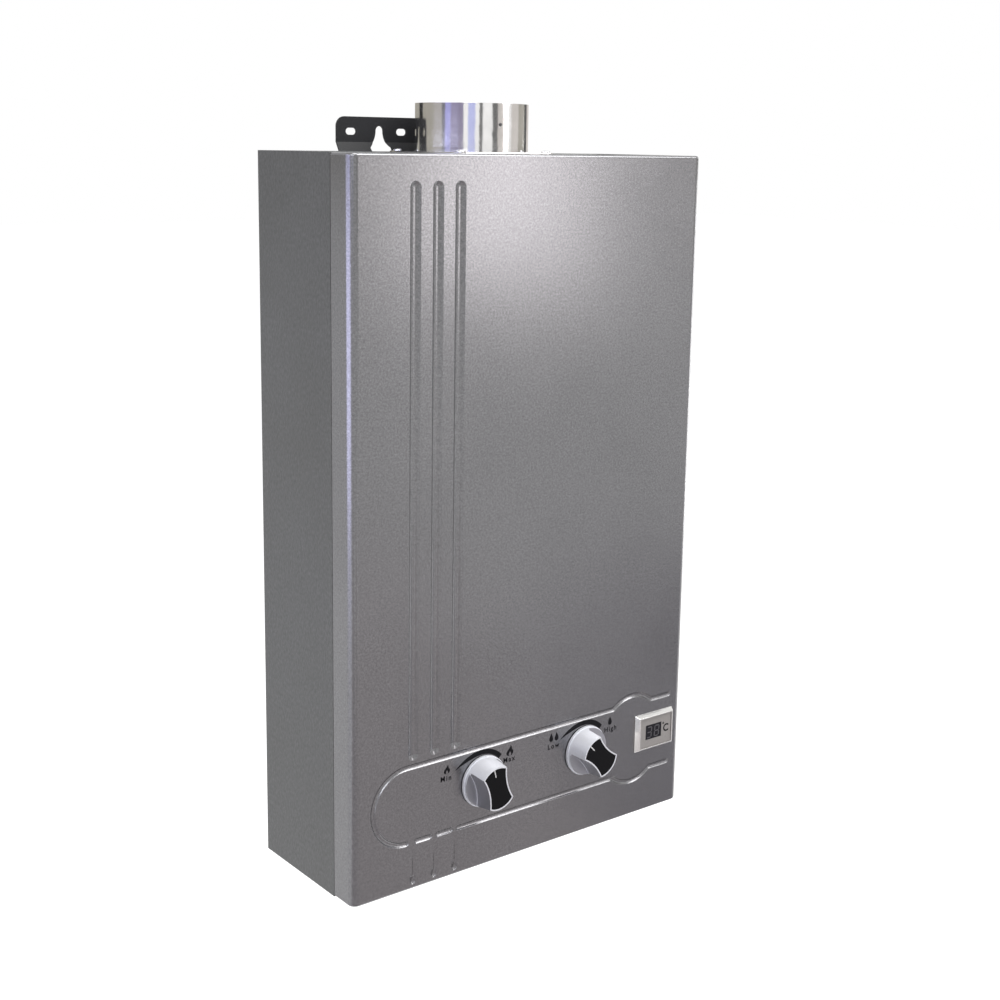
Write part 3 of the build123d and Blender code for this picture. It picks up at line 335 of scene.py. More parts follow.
def turned(name, profile, steps=64):
    """Piece turned on a lathe from a closed profile of radii and heights."""
    piece = block(name, (0, 0, 0), (MM, MM, MM))
    shape(piece)
    bpy.ops.mesh.delete(type="VERT")
    draw([(r, 0, z) for r, z in profile])
    bpy.ops.mesh.spin(steps=steps, angle=2 * math.pi, center=(0, 0, 0), axis=(0, 0, 1))
    bpy.ops.mesh.select_all(action="SELECT")
    bpy.ops.mesh.remove_doubles(threshold=1e-6)
    bpy.ops.mesh.normals_make_consistent(inside=False)
    close()
    return piece


def modify(piece, kind, **settings):
    """Adds a modifier and applies it."""
    only(piece)
    modifier = piece.modifiers.new(kind.title(), kind)
    for key, value in settings.items():
        setattr(modifier, key, value)
    bpy.ops.object.modifier_apply(modifier=modifier.name)


def carve(piece, *cutters):
    """Cuts other pieces out of this one."""
    for cutter in cutters:
        modify(piece, "BOOLEAN", operation="DIFFERENCE", object=cutter, solver="EXACT")
        bpy.data.objects.remove(cutter)


def round_edges(piece, width, segments=3, angle=30):
    """Rounds a piece's sharp edges."""
    modify(
        piece, "BEVEL", width=width, segments=segments, limit_method="ANGLE",
        angle_limit=math.radians(angle), use_clamp_overlap=True, harden_normals=False,
    )


def smooth(piece, angle=38):
    """Smooth shading up to an angle, with the flat faces kept flat."""
    only(piece)
    bpy.ops.object.shade_smooth_by_angle(angle=math.radians(angle))
    modify(piece, "WEIGHTED_NORMAL", keep_sharp=True, weight=60)


def place(piece, matrix):
    """Puts a piece at its place, in its mesh."""
    only(piece)
    piece.matrix_world = matrix
    bpy.ops.object.transform_apply(location=True, rotation=True, scale=True)


def join(pieces, name):
    """Joins pieces into one."""
    only(*pieces)
    if len(pieces) > 1:
        bpy.ops.object.join()
    pieces[0].name = pieces[0].data.name = name
    return pieces[0]


def repeat(piece, matrices, name):
    """Copies a piece, each copy with its own mesh, to several places and joins them."""
    copies = []
    for matrix in matrices:
        copy = piece.copy()
        copy.data = piece.data.copy()
        bpy.context.scene.collection.objects.link(copy)
        place(copy, matrix)
        copies.append(copy)
    bpy.data.objects.remove(piece)
    return join(copies, name)


def hand_over(piece, slot, *nodes, body="casing", finish=None):
    """Gives a finished piece its finish, that of its slot unless another is named, hangs it on its body and hides
    the solids that it stands for.
    """
    piece.data.materials.clear()
    piece.data.materials.append(finish_of(finish or slot))
    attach(piece, body)
    if nodes:
        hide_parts(*nodes)


# Materials

NOISE_LOW, NOISE_HIGH = 0.3, 0.7
COAT_ROUGHNESS = 0.12


class Recipe:
    """Node tree of a material or of the world, with short calls for its nodes."""

    def __init__(self, owner, shader="Principled BSDF"):
        self.owner = owner
        owner.use_nodes = True
        self.tree = owner.node_tree
        self.shader = self.tree.nodes[shader]

    def node(self, kind, inputs=(), **settings):
        """Adds a node, sets its values and links its inputs."""
        node = self.tree.nodes.new(kind)
        for key, value in settings.items():
            setattr(node, key, value)
        for key, value in dict(inputs).items():
            self.feed(node.inputs[key], value)
        return node

    def feed(self, socket, value):
        """Links an output to a socket, or sets the socket's value."""
        if isinstance(value, bpy.types.NodeSocket):
            self.tree.links.new(value, socket)
        else:
            socket.default_value = value

    def set(self, values):
        """Sets or links the shader's own sockets."""
        for key, value in values.items():
            self.feed(self.shader.inputs[key], value)

    def where(self):
        """Place in the piece, from its origin."""
        return self.node("ShaderNodeTexCoord").outputs["Object"]

    def noise(self, vector, scale, detail, roughness=0.5):
        """Noise between 0 and 1."""
        inputs = {"Vector": vector, "Scale": scale, "Detail": detail, "Roughness": roughness}
        return self.node("ShaderNodeTexNoise", inputs).outputs["Fac"]

    def ramp(self, share, dark, light, ends=(0.0, 1.0)):
        """Colour between two others."""
        node = self.node("ShaderNodeValToRGB", {"Fac": share})
        for element, end, colour in zip(node.color_ramp.elements, ends, (dark, light)):
            element.position, element.color = end, colour
        return node.outputs["Color"]

    def seen(self):
        """One for rays of the camera, of reflections and through clear things, zero for light on things."""
        path = self.node("ShaderNodeLightPath").outputs
        share = path["Is Camera Ray"]
        for kind in ("Is Glossy Ray", "Is Transmission Ray"):
            share = self.node("ShaderNodeMath", {0: share, 1: path[kind]}, operation="MAXIMUM").outputs[0]
        return share


def shaded(colour, share):
    """Colour made lighter or darker by a share."""
    return tuple(min(1.0, max(0.0, c * (1 + share))) for c in colour) + (1.0,)


def finish_of(slot):
    """Material of a finish: fine grain, broad clouds, uneven gloss and a little bump."""
    if slot in bpy.data.materials and bpy.data.materials[slot].get("dressed"):
        return bpy.data.materials[slot]
    metallic, gloss, dull, scale, bump, fleck, cloud, coat, specular = FINISHES[slot][-1]
    colour = tuple(getattr(bpy.context.scene.heater_colours, slot))
    if slot in bpy.data.materials:
        bpy.data.materials[slot].name = slot + "_solid"
    recipe = Recipe(bpy.data.materials.new(slot))
    recipe.owner["dressed"] = True
    where = recipe.where()
    scaled = recipe.node("ShaderNodeMapping", {"Vector": where, "Scale": scale}).outputs["Vector"]
    fine = recipe.noise(scaled, 1.0, 3.0, 0.6)
    broad = recipe.noise(where, 9.0, 4.0, 0.55)
    ends, grey = (NOISE_LOW, NOISE_HIGH), (0.5, 0.5, 0.5)
    layers = {
        "Factor_Float": 1.0,
        "A_Color": recipe.ramp(fine, shaded(colour, -fleck), shaded(colour, fleck), ends),
        "B_Color": recipe.ramp(broad, shaded(grey, -cloud), shaded(grey, cloud), ends),
    }
    mixed = recipe.node("ShaderNodeMix", data_type="RGBA", blend_type="SOFT_LIGHT")
    for socket in mixed.inputs:
        if socket.identifier in layers:
            recipe.feed(socket, layers[socket.identifier])
    uneven = {"Value": broad, "From Min": NOISE_LOW, "From Max": NOISE_HIGH, "To Min": gloss, "To Max": dull}
    relief = {"Height": fine, "Strength": 1.0, "Distance": bump}
    recipe.set({
        "Base Color": next(socket for socket in mixed.outputs if socket.type == "RGBA"),
        "Metallic": metallic,
        "Roughness": recipe.node("ShaderNodeMapRange", uneven).outputs["Result"],
        "Normal": recipe.node("ShaderNodeBump", relief).outputs["Normal"],
        "Specular IOR Level": specular,
        "Coat Weight": coat,
        "Coat Roughness": COAT_ROUGHNESS,
    })
    return recipe.owner


# Cover

# Ribs from the cover's middle, other places from its edges; spaces between the grooves
RIBS = (-121 * MM, -100 * MM, -79 * MM)
RIB_TOP, RIB_SPACE = 20.5 * MM, 3.2 * MM
FOOT_LOW, FOOT_SPACE, FOOT_STEPS = 4.0 * MM, 7.5 * MM, 12
LINE_LEFT, LINE_RIGHT, WAVE_RIGHT, DASH_GAP = 19.5 * MM, 16.0 * MM, 61.0 * MM, 3.9 * MM

# A rib's foot: height up to which it is full, length of its run-out, depth left above it as a share
FOOT_FULL, FOOT_RUN, FOOT_FAINT = 8.5 * MM, 5.0 * MM, 0.14

# A groove: softness of its lip, flat land beside it as shares of the lip, rings in it as shares of its half width
LIP_SOFT, LAND, RINGS = 0.16 * MM, (1.35, 1.0), (0.66, 0.48, 0.30, 0.12)


def trace(start, heading, steps):
    """Points and headings along a line of straight runs and arcs."""
    x, y = start
    angle = math.radians(heading)
    path = [((x, y), angle)]
    for step in steps:
        if len(step) == 1:
            x, y = x + step[0] * math.cos(angle), y + step[0] * math.sin(angle)
            path.append(((x, y), angle))
            continue
        radius, turn = step[0], math.radians(step[1])
        count = max(4, math.ceil(abs(turn) / math.radians(6)))
        side = math.copysign(1, turn)
        cx, cy = x - side * radius * math.sin(angle), y + side * radius * math.cos(angle)
        first = angle
        for i in range(1, count + 1):
            angle = first + turn * i / count
            x, y = cx + side * radius * math.sin(angle), cy - side * radius * math.cos(angle)
            path.append(((x, y), angle))
    return path


def band(path, half, cap=12):
    """Closed outline round a path, with round ends."""

    def beside(point, angle, turn):
        return (point[0] + half * math.cos(angle + turn), point[1] + half * math.sin(angle + turn))

    right = [beside(p, a, -math.pi / 2) for p, a in path]
    left = [beside(p, a, math.pi / 2) for p, a in reversed(path)]
    (first, first_angle), (last, last_angle) = path[0], path[-1]
    end = [beside(last, last_angle, -math.pi / 2 + math.pi * i / cap) for i in range(1, cap)]
    start = [beside(first, first_angle, math.pi / 2 + math.pi * i / cap) for i in range(1, cap)]
    return right + end + left + start


def groove_rings(width, depth, lip):
    """Half widths and depths of a groove, from its rounded lip to its round bottom."""
    half = width / 2
    radius = (half**2 + depth**2) / (2 * depth)

    def sunk(reach):
        arc = depth - radius + math.sqrt(max(radius**2 - reach**2, 0))
        return (arc + math.sqrt(arc**2 + LIP_SOFT**2)) / 2

    reaches = [half + lip / 2, half + lip / 6, half - lip / 5, half - lip / 2, half - lip]
    reaches += [half * share for share in RINGS]
    return [(half + share * lip, 0) for share in LAND] + [(reach, sunk(reach)) for reach in reaches]


def cover_lines(sizes):
    """Centre lines of the ribs and of the outline round the controls, from the cover's middle and foot."""
    half, tip = (COVER_HIGH.x - COVER_LOW.x) / 2, sizes.rib_width / 2
    upper = sizes.line_top + sizes.line_width / 2 + RIB_SPACE + tip
    rib_run = COVER_HIGH.z - FOOT_Z - RIB_TOP - tip - upper
    low_end = FOOT_LOW + sizes.foot_width / 2
    foot_run = (sizes.line_bottom - low_end - FOOT_SPACE) / FOOT_STEPS
    rib_lines = [trace((x, upper), 90, [(rib_run,)]) for x in RIBS]
    feet = [trace((x, low_end), 90, [(foot_run,)] * FOOT_STEPS) for x in RIBS]

    left, right, wave = LINE_LEFT - half, half - LINE_RIGHT, half - WAVE_RIGHT
    crest = (sizes.wave_half**2 + sizes.wave_rise**2) / (2 * sizes.wave_rise)
    outer = crest + sizes.wave_kink
    swing = math.degrees(math.acos((outer - sizes.wave_rise) / outer))
    reach = math.sqrt(outer**2 - (outer - sizes.wave_rise) ** 2)
    bump = [(sizes.wave_kink, -swing), (crest, 2 * swing), (sizes.wave_kink, -swing)]
    end = (right - wave - reach,)
    turn = (sizes.line_top - sizes.line_bottom) / 2
    short = math.degrees(math.asin(max(0, left + turn - RIBS[0] + DASH_GAP) / turn))
    top = [end] + bump + [(wave - reach - left - turn,), (turn, 180 - short)]
    lines = [trace((right, sizes.line_top), 180, top)]
    for a, b in zip(RIBS, RIBS[1:]):
        lines.append(trace((a + DASH_GAP, sizes.line_bottom), 0, [(b - a - 2 * DASH_GAP,)]))
    low_start = RIBS[-1] + DASH_GAP
    lines.append(trace((low_start, sizes.line_bottom), 0, [(wave - reach - low_start,)] + bump + [end]))
    return rib_lines, feet, lines


def foot_share(height):
    """Share of a rib foot's depth: full at its lower end, running out upwards."""
    return FOOT_FAINT + (1 - FOOT_FAINT) * min(1, max(0, 1 - (height - FOOT_FULL) / FOOT_RUN))


def press_groove(path, width, depth, lip, share=lambda height: 1):
    """Presses one groove: rings round its line, each further in and down, are bridged and closed."""
    mesh = bpy.context.object.data
    edited = bmesh.from_edit_mesh(mesh)
    outer = None
    for reach, sunk in groove_rings(width, depth, lip):
        inner = [edited.verts.new(face_point(x, z, -sunk * share(z))) for x, z in band(path, reach)]
        if outer:
            for i in range(len(inner)):
                edited.faces.new((outer[i - 1], outer[i], inner[i], inner[i - 1]))
        outer = inner
    edited.faces.new(outer)
    bmesh.update_edit_mesh(mesh)


class HEATER_OT_cover(bpy.types.Operator):
    """Presses the front cover from one sheet, with ribs, outline and openings"""

    bl_idname = "heater.cover"
    bl_label = "Front cover"

    def execute(self, context):
        sizes = context.scene.heater_cover
        cover = block("cover_pressing", COVER_LOW, COVER_HIGH)
        shape(cover)

        def lies(edge, axis, value):
            return all(abs(v.co[axis] - value) < NEAR for v in edge.verts)

        choose("EDGE", lambda e: lies(e, 1, FACE_Y) and lies(e, 0, e.verts[0].co.x))
        bpy.ops.mesh.bevel(offset=sizes.corner, segments=10, affect="EDGES")
        for height in (COVER_LOW.z, COVER_HIGH.z):
            choose("EDGE", lambda e: lies(e, 2, height) and not lies(e, 1, COVER_HIGH.y))
            bpy.ops.mesh.bevel(offset=sizes.rim, segments=5, affect="EDGES")
        choose("FACE", lambda f: f.normal.y > 0.99)
        bpy.ops.mesh.delete(type="FACE")
        choose("FACE", lambda f: f.normal.y < -0.999 and abs(f.calc_center_median().y - FACE_Y) < NEAR)
        bpy.ops.mesh.inset(thickness=sizes.lip / 2, use_even_offset=True)
        bpy.ops.mesh.delete(type="FACE")
        ribs, feet, lines = cover_lines(sizes)
        for path in ribs:
            press_groove(path, sizes.rib_width, sizes.rib_depth, sizes.lip)
        for path in feet:
            press_groove(path, sizes.foot_width, sizes.foot_depth, sizes.lip, foot_share)
        for path in lines:
            press_groove(path, sizes.line_width, sizes.line_depth, sizes.lip)
        for node in ("gas_spindle", "water_spindle"):
            axis = middle(node)
            draw([(x, FACE_Y, z) for x, z in circle((axis.x, axis.z), sizes.opening, 40)])
        low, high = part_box("display_bezel")
        inset = context.scene.heater_display.bevel + context.scene.heater_display.rim
        x, z = (low.x + inset, high.x - inset), (low.z + inset, high.z - inset)
        draw([(x[i], FACE_Y, z[j]) for i, j in ((0, 0), (1, 0), (1, 1), (0, 1))])
        choose("EDGE", lambda e: len(e.link_faces) < 2 and lies(e, 1, FACE_Y))
        bpy.ops.mesh.fill(use_beauty=True)
        bpy.ops.mesh.select_all(action="SELECT")
        bpy.ops.mesh.remove_doubles(threshold=1e-7)
        bpy.ops.mesh.normals_make_consistent(inside=False)
        edited = bmesh.from_edit_mesh(cover.data)
        if max(edited.faces, key=lambda f: f.calc_area()).normal.y > 0:
            bpy.ops.mesh.flip_normals()
        close()
        modify(cover, "SOLIDIFY", thickness=sizes.sheet, offset=-1, use_even_offset=True, use_quality_normals=True)
        smooth(cover, 40)
        hand_over(cover, "cover_paint", "front_cover")
        return {"FINISHED"}


# Knobs

# Each knob: node, spindle, body that it rides on, angle of its pointer in degrees
KNOBS = (
    ("gas_knob", "gas_spindle", "gas_control", 104.5),
    ("water_knob", "water_spindle", "water_control", 133.5),
)
POINTER_SPACE, POINTER_HALF, POINTER_THICK, POINTER_EDGE = 0.3 * MM, 0.5 * MM, 0.1 * MM, 0.03 * MM


class HEATER_OT_knobs(bpy.types.Operator):
    """Turns, scoops and rounds the two knobs and lays the white pointers on their plates"""

    bl_idname = "heater.knobs"
    bl_label = "Knobs"

    def execute(self, context):
        sizes = context.scene.heater_knobs
        foot = sizes.gap + sizes.skirt
        body = sizes.skirt_radius - sizes.step
        reach = sizes.waist + sizes.scoop
        for name, spindle, rider, angle in KNOBS:
            knob = drum(name + "_body", sizes.skirt_radius, sizes.gap, foot, sides=144)
            shape(knob)
            choose("FACE", lambda f: f.normal.z > 0.9)
            bpy.ops.mesh.inset(thickness=sizes.step, use_even_offset=True)
            bpy.ops.mesh.extrude_region_move(TRANSFORM_OT_translate={"value": (0, 0, sizes.height - foot)})
            share = sizes.face_radius / body
            bpy.ops.transform.resize(value=(share, share, 1))
            close()
            cutters = []
            for x in (-reach, reach):
                for cutter, radius, low, high in (
                    ("scoop", sizes.scoop, sizes.ledge + sizes.bead, 2 * sizes.height),
                    ("foot", sizes.scoop - sizes.bead, sizes.ledge, sizes.height),
                ):
                    cutters.append(drum(cutter, radius, low, high, (x, 0), sides=320))
            carve(knob, *cutters)
            shape(knob)
            choose("FACE", lambda f: f.normal.z > 0.9 and f.calc_center_median().z > sizes.height - NEAR)
            bpy.ops.mesh.dissolve_faces()
            bpy.ops.mesh.inset(thickness=sizes.rim, use_even_offset=True)
            bpy.ops.mesh.extrude_region_move(TRANSFORM_OT_translate={"value": (0, 0, -sizes.recess)})
            close()
            round_edges(knob, sizes.edge, 3, 28)
            smooth(knob)
            # Faces of the scoops, apart from the bead and the rounded top, are picked out for painted shade
            painted_shade_faces = []
            for f in knob.data.polygons:
                inside = sizes.scoop - math.hypot(abs(f.center.x) - reach, f.center.y)
                rise = f.center.z - sizes.ledge
                bead = NEAR < rise < 1.1 * sizes.bead and inside < 1.1 * sizes.bead
                if inside > -NEAR and -NEAR < rise < sizes.height - sizes.edge - sizes.ledge and not bead:
                    painted_shade_faces.append(f.index)
            turn = face_turn(on_face(spindle), math.radians(angle - 90))
            place(knob, turn)
            hand_over(knob, "knob_silver", name, body=rider)
            # The picked faces get the darker silver, painted shade in place of the shade that falls in the scoops
            knob.data.materials.append(finish_of("knob_scoop_painted_shade"))
            for index in painted_shade_faces:
                knob.data.polygons[index].material_index = 1
            out = out_of(name + "_plate")
            far = sizes.face_radius - sizes.rim - POINTER_SPACE
            low = (-POINTER_HALF, far - sizes.pointer, out)
            pointer = block(name + "_pointer", low, (POINTER_HALF, far, out + POINTER_THICK))
            round_edges(pointer, POINTER_EDGE, 2)
            smooth(pointer)
            place(pointer, turn)
            hand_over(pointer, "knob_silver", body=rider, finish="mark")
        return {"FINISHED"}


# Display

# Lit bars of a digit: a top, b and c right, d bottom, e and f left, g middle
BARS = {"3": "abgcd", "8": "abcdefg"}
BAR_GAP, LEAN = 0.18 * MM, 0.08

# Places from the window's middle: digits, degree letter, degree ring; then the letter's size and the ring's radii
DIGITS = (("3", (-5.2 * MM, -0.2 * MM)), ("8", (3.9 * MM, -0.2 * MM)))
LETTER_PLACE, RING_PLACE = (15.4 * MM, -3.4 * MM), (12.0 * MM, 4.9 * MM)
LETTER_SIZE, LETTER_BOLD, RING_RADII = 9.8 * MM, 0.25 * MM, (1.05 * MM, 0.35 * MM)


def digit_outlines(digit, centre, sizes):
    """Outlines of a digit's bars, leaning a little to the right."""
    w, h, s = sizes.digit_width / 2, sizes.digit_height / 2, sizes.stroke / 2
    across = {"a": h - s, "g": 0, "d": -h + s}
    upright = {"b": (w - s, h - s, 0), "c": (w - s, 0, -h + s), "f": (s - w, h - s, 0), "e": (s - w, 0, -h + s)}
    shapes = []
    for name in BARS[digit]:
        if name in across:
            y, l, r = across[name], -w + s + BAR_GAP, w - s - BAR_GAP
            points = [(l, y), (l + s, y - s), (r - s, y - s), (r, y), (r - s, y + s), (l + s, y + s)]
        else:
            x, t, b = upright[name]
            t, b = t - BAR_GAP, b + BAR_GAP
            points = [(x, b), (x + s, b + s), (x + s, t - s), (x, t), (x - s, t - s), (x - s, b + s)]
        shapes.append([(centre[0] + px + LEAN * py, centre[1] + py) for px, py in points])
    return shapes


class HEATER_OT_display(bpy.types.Operator):
    """Makes the display's bezel, its digits and the temperature sign"""

    bl_idname = "heater.display"
    bl_label = "Display"

    def execute(self, context):
        sizes = context.scene.heater_display
        low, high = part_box("display_bezel")
        wide, tall, rise = high.x - low.x, high.z - low.z, high.y - low.y
        bezel = block("display_frame", (-wide / 2, -tall / 2, 0), (wide / 2, tall / 2, rise))
        shape(bezel)
        choose("FACE", lambda f: f.normal.z > 0.9)
        bpy.ops.transform.resize(value=(1 - 2 * sizes.bevel / wide, 1 - 2 * sizes.bevel / tall, 1))
        close()
        border = sizes.bevel + sizes.rim
        x, y = wide / 2 - border, tall / 2 - border
        carve(bezel, block("opening", (-x, -y, -rise), (x, y, 2 * rise)))
        round_edges(bezel, 0.35 * MM, 3)
        smooth(bezel)
        place(bezel, face_turn(on_face("display_bezel")))
        hand_over(bezel, "bezel_chrome", "display_bezel")

        x, z = spot_of("display_window")
        digits = []
        for digit, shift in DIGITS:
            digits += digit_outlines(digit, (x + shift[0], z + shift[1]), sizes)
        piece = print_flat("display_digits", digits, out_of("display_window"))
        hand_over(piece, "lens_dark", finish="digit")

        out = out_of("display_plate")
        spot = (x + LETTER_PLACE[0], z + LETTER_PLACE[1])
        letter = print_word("degree_letter", "C", LETTER_SIZE, spot, out, 1.0, LETTER_BOLD)
        dot = [circle((x + RING_PLACE[0], z + RING_PLACE[1]), radius, 28) for radius in RING_RADII]
        sign = join([letter, print_flat("degree_ring", dot, out)], "degree_sign")
        hand_over(sign, "display_grey", finish="ink")
        return {"FINISHED"}


# Prints

PRINT_HALF, PRINT_LIFT = 0.02 * MM, 0.03 * MM

# Places on the cover from its middle and foot; a flame has its width and height too
FLAMES = (((-0.0874, 0.0952), 0.0062, 0.0078), ((-0.0218, 0.0958), 0.0074, 0.0094))
DROPS = ((0.0236, 0.0966), (0.0296, 0.0966), (0.0914, 0.0966))
WORDS = (
    ("Min", (-0.0883, 0.0855)), ("Max", (-0.0226, 0.0861)), ("Low", (0.0261, 0.0862)), ("High", (0.0922, 0.0866)),
)
DROP_WIDE, DROP_TALL = 0.0050, 0.0080
WORD_SIZE, WORD_SPREAD, WORD_BOLD = 0.0063, 1.30, 0.00014


def print_flat(name, outlines, out):
    """Thin print on the cover inside closed outlines, some way out of the cover's face."""
    curve = bpy.data.curves.new(name, "CURVE")
    curve.dimensions = "2D"
    curve.fill_mode = "BOTH"
    curve.extrude = PRINT_HALF
    for points in outlines:
        line = curve.splines.new("POLY")
        line.points.add(len(points) - 1)
        for spot, (x, y) in zip(line.points, points):
            spot.co = (x, y, 0, 1)
        line.use_cyclic_u = True
    piece = bpy.data.objects.new(name, curve)
    bpy.context.scene.collection.objects.link(piece)
    return lay(piece, name, face_turn(face_point(0, 0, out + PRINT_LIFT)))


def print_word(name, words, size, spot, out, spread, bold):
    """Thin word on the cover, centred on a place from its middle and foot."""
    bpy.ops.object.text_add()
    piece = bpy.context.object
    piece.data.body = words
    piece.data.size = size
    piece.data.align_x = "CENTER"
    piece.data.space_character = spread
    piece.data.offset = bold
    piece.data.extrude = PRINT_HALF
    return lay(piece, name, face_turn(face_point(*spot, out + PRINT_LIFT)))


def lay(piece, name, matrix):
    """Turns a flat curve or word into a mesh and lays it at its place."""
    only(piece)
    bpy.ops.object.convert(target="MESH")
    piece = bpy.context.object
    shape(piece)
    bpy.ops.mesh.select_all(action="SELECT")
    bpy.ops.mesh.remove_doubles(threshold=1e-7)
    close()
    place(piece, matrix)
    piece.name = piece.data.name = name
    return piece


def drop(centre, width, height, count=40):
    """Outline of a water drop."""
    turns = [2 * math.pi * i / count for i in range(count)]
    line = [(0.62 * math.sin(t) * math.sin(t / 2) ** 1.6, math.cos(t) / 2) for t in turns]
    return [(centre[0] + width * x, centre[1] + height * y) for x, y in line]


FLAME = (
    (0.00, 0.00), (0.30, 0.05), (0.47, 0.22), (0.50, 0.40), (0.42, 0.58), (0.33, 0.50), (0.29, 0.66),
    (0.26, 0.82), (0.14, 1.00), (0.06, 0.86), (-0.06, 0.74), (-0.22, 0.62), (-0.40, 0.46), (-0.50, 0.30),
    (-0.46, 0.14), (-0.28, 0.03),
)


def flame(centre, width, height):
    """Outlines of a flame and of the bare heart in it."""
    outer = [(centre[0] + x * width, centre[1] + (y - 0.5) * height) for x, y in FLAME]
    heart = drop((centre[0] + 0.02 * width, centre[1] - 0.27 * height), 0.42 * width, 0.44 * height, 24)
    return [outer, heart]


def crescent(centre):
    """Outline of the band beside a knob, broad at one end and running out to a point."""
    first, last, count, tip = math.radians(42.5), math.radians(151.5), 44, 32.4 * MM
    outer, inner = [], []
    for i in range(count + 1):
        share = i / count
        turn = first + (last - first) * share
        for line, near, bend in ((outer, 27.0 * MM, 4), (inner, 22.6 * MM, 5)):
            radius = near + (tip - near) * share**bend
            line.append((centre[0] + radius * math.cos(turn), centre[1] + radius * math.sin(turn)))
    return outer + inner[-2::-1]


class HEATER_OT_prints(bpy.types.Operator):
    """Prints the bands, flames, drops and words round the knobs"""

    bl_idname = "heater.prints"
    bl_label = "Prints"

    def execute(self, context):
        shapes = [crescent(spot_of(spindle)) for spindle in ("gas_spindle", "water_spindle")]
        for spot, wide, tall in FLAMES:
            shapes += flame(spot, wide, tall)
        shapes += [drop(spot, DROP_WIDE, DROP_TALL) for spot in DROPS]
        bands = print_flat("knob_prints", shapes, 0)
        hand_over(bands, "cover_paint", finish="ink")
        pieces = [
            print_word("word_" + word.lower(), word, WORD_SIZE, spot, 0, WORD_SPREAD, WORD_BOLD)
            for word, spot in WORDS
        ]
        hand_over(join(pieces, "knob_words"), "cover_paint", finish="ink")
        return {"FINISHED"}


# Collar, screws and connections

COLLAR_WALL, SEAM_HALF, SEAM_DEPTH = 0.8 * MM, 0.4 * MM, 0.25 * MM
HOLE_RADIUS, HOLE_PLACE = 1.7 * MM, (-6.0 * MM, 6.5 * MM)
SCREW_HEAD, SCREW_TALL, SCREW_SHANK, SLOT_HALF = 3.7 * MM, 2.0 * MM, 1.9 * MM, 0.45 * MM

# A connection: radii of thread, bore and neck; thread's length, pitch and chamfer; the nut's height and radii
CREST, ROOT, BORE, NECK = 10.4 * MM, 9.3 * MM, 7.0 * MM, 9.5 * MM
THREAD, PITCH, CHAMFER = 20.0 * MM, 1.8 * MM, 0.6 * MM
NUT_TALL, NUT_RADIUS, NUT_BORE = 9.0 * MM, 14.0 * MM, 8.0 * MM


class HEATER_OT_collar(bpy.types.Operator):
    """Rolls the flue collar from sheet, with its seam, rim and fixing hole"""

    bl_idname = "heater.collar"
    bl_label = "Flue collar"

    def execute(self, context):
        low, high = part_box("flue_collar")
        axis = middle("flue_collar")
        radius = (high.x - low.x) / 2
        inner, front = radius - COLLAR_WALL, axis.y - radius
        profile = ((radius, low.z), (radius, high.z), (inner, high.z), (inner, low.z))
        collar = turned("collar_tube", profile, steps=180)
        place(collar, Matrix.Translation((axis.x, axis.y, 0)))
        seam = block(
            "seam", (-SEAM_HALF, front - COLLAR_WALL, low.z - COLLAR_WALL),
            (SEAM_HALF, front + SEAM_DEPTH, high.z + COLLAR_WALL),
        )
        hole = drum("hole", HOLE_RADIUS, -radius / 2, radius / 2, sides=40)
        place(hole, face_turn(Vector((axis.x + HOLE_PLACE[0], front, HOLE_PLACE[1]))))
        carve(collar, seam, hole)
        round_edges(collar, 0.25 * MM, 2)
        smooth(collar)
        hand_over(collar, "stainless", "flue_collar")
        return {"FINISHED"}


def screws(node, name, depth, places):
    """Pan-head screws with a cross recess, seated at these places, for a node of screws."""
    radius, height, shank = SCREW_HEAD, SCREW_TALL, SCREW_SHANK
    profile = [(0.0, -depth), (shank * 0.7, -depth), (shank, -depth + shank * 0.4), (shank, 0.0), (radius, 0.0)]
    profile += [(radius * math.cos(a), height * (0.35 + 0.65 * math.sin(a))) for a in (0, 0.3, 0.6, 0.9, 1.2)]
    screw = turned("screw", profile + [(0.0, height)], 48)
    reach, sink = 0.62 * radius, 0.35 * height
    for x, y in ((SLOT_HALF, reach), (reach, SLOT_HALF)):
        carve(screw, block("slot", (-x, -y, sink), (x, y, 2 * height)))
    round_edges(screw, 0.08 * MM, 2, 40)
    smooth(screw)
    hand_over(repeat(screw, places, name), "bright_steel", node)


class HEATER_OT_fasteners(bpy.types.Operator):
    """Makes the collar's and the cover's screws"""

    bl_idname = "heater.fasteners"
    bl_label = "Screws"

    def execute(self, context):
        low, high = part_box("collar_screws")
        seat = high.z - SCREW_TALL
        across, along = (low.x + SCREW_HEAD, high.x - SCREW_HEAD), (low.y + SCREW_HEAD, high.y - SCREW_HEAD)
        spots = [(x, y, seat) for x in across for y in along]
        places = [Matrix.Translation(spot) @ Matrix.Rotation(0.4 * i, 4, "Z") for i, spot in enumerate(spots)]
        screws("collar_screws", "collar_screw_heads", seat - low.z, places)

        low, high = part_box("cover_screws")
        seat, y = low.z + SCREW_TALL, (low.y + high.y) / 2
        upside = Matrix.Rotation(math.pi, 4, "X")
        across = (low.x + SCREW_HEAD, high.x - SCREW_HEAD)
        places = [Matrix.Translation((x, y, seat)) @ upside for x in across]
        screws("cover_screws", "cover_screw_heads", high.z - seat, places)
        return {"FINISHED"}


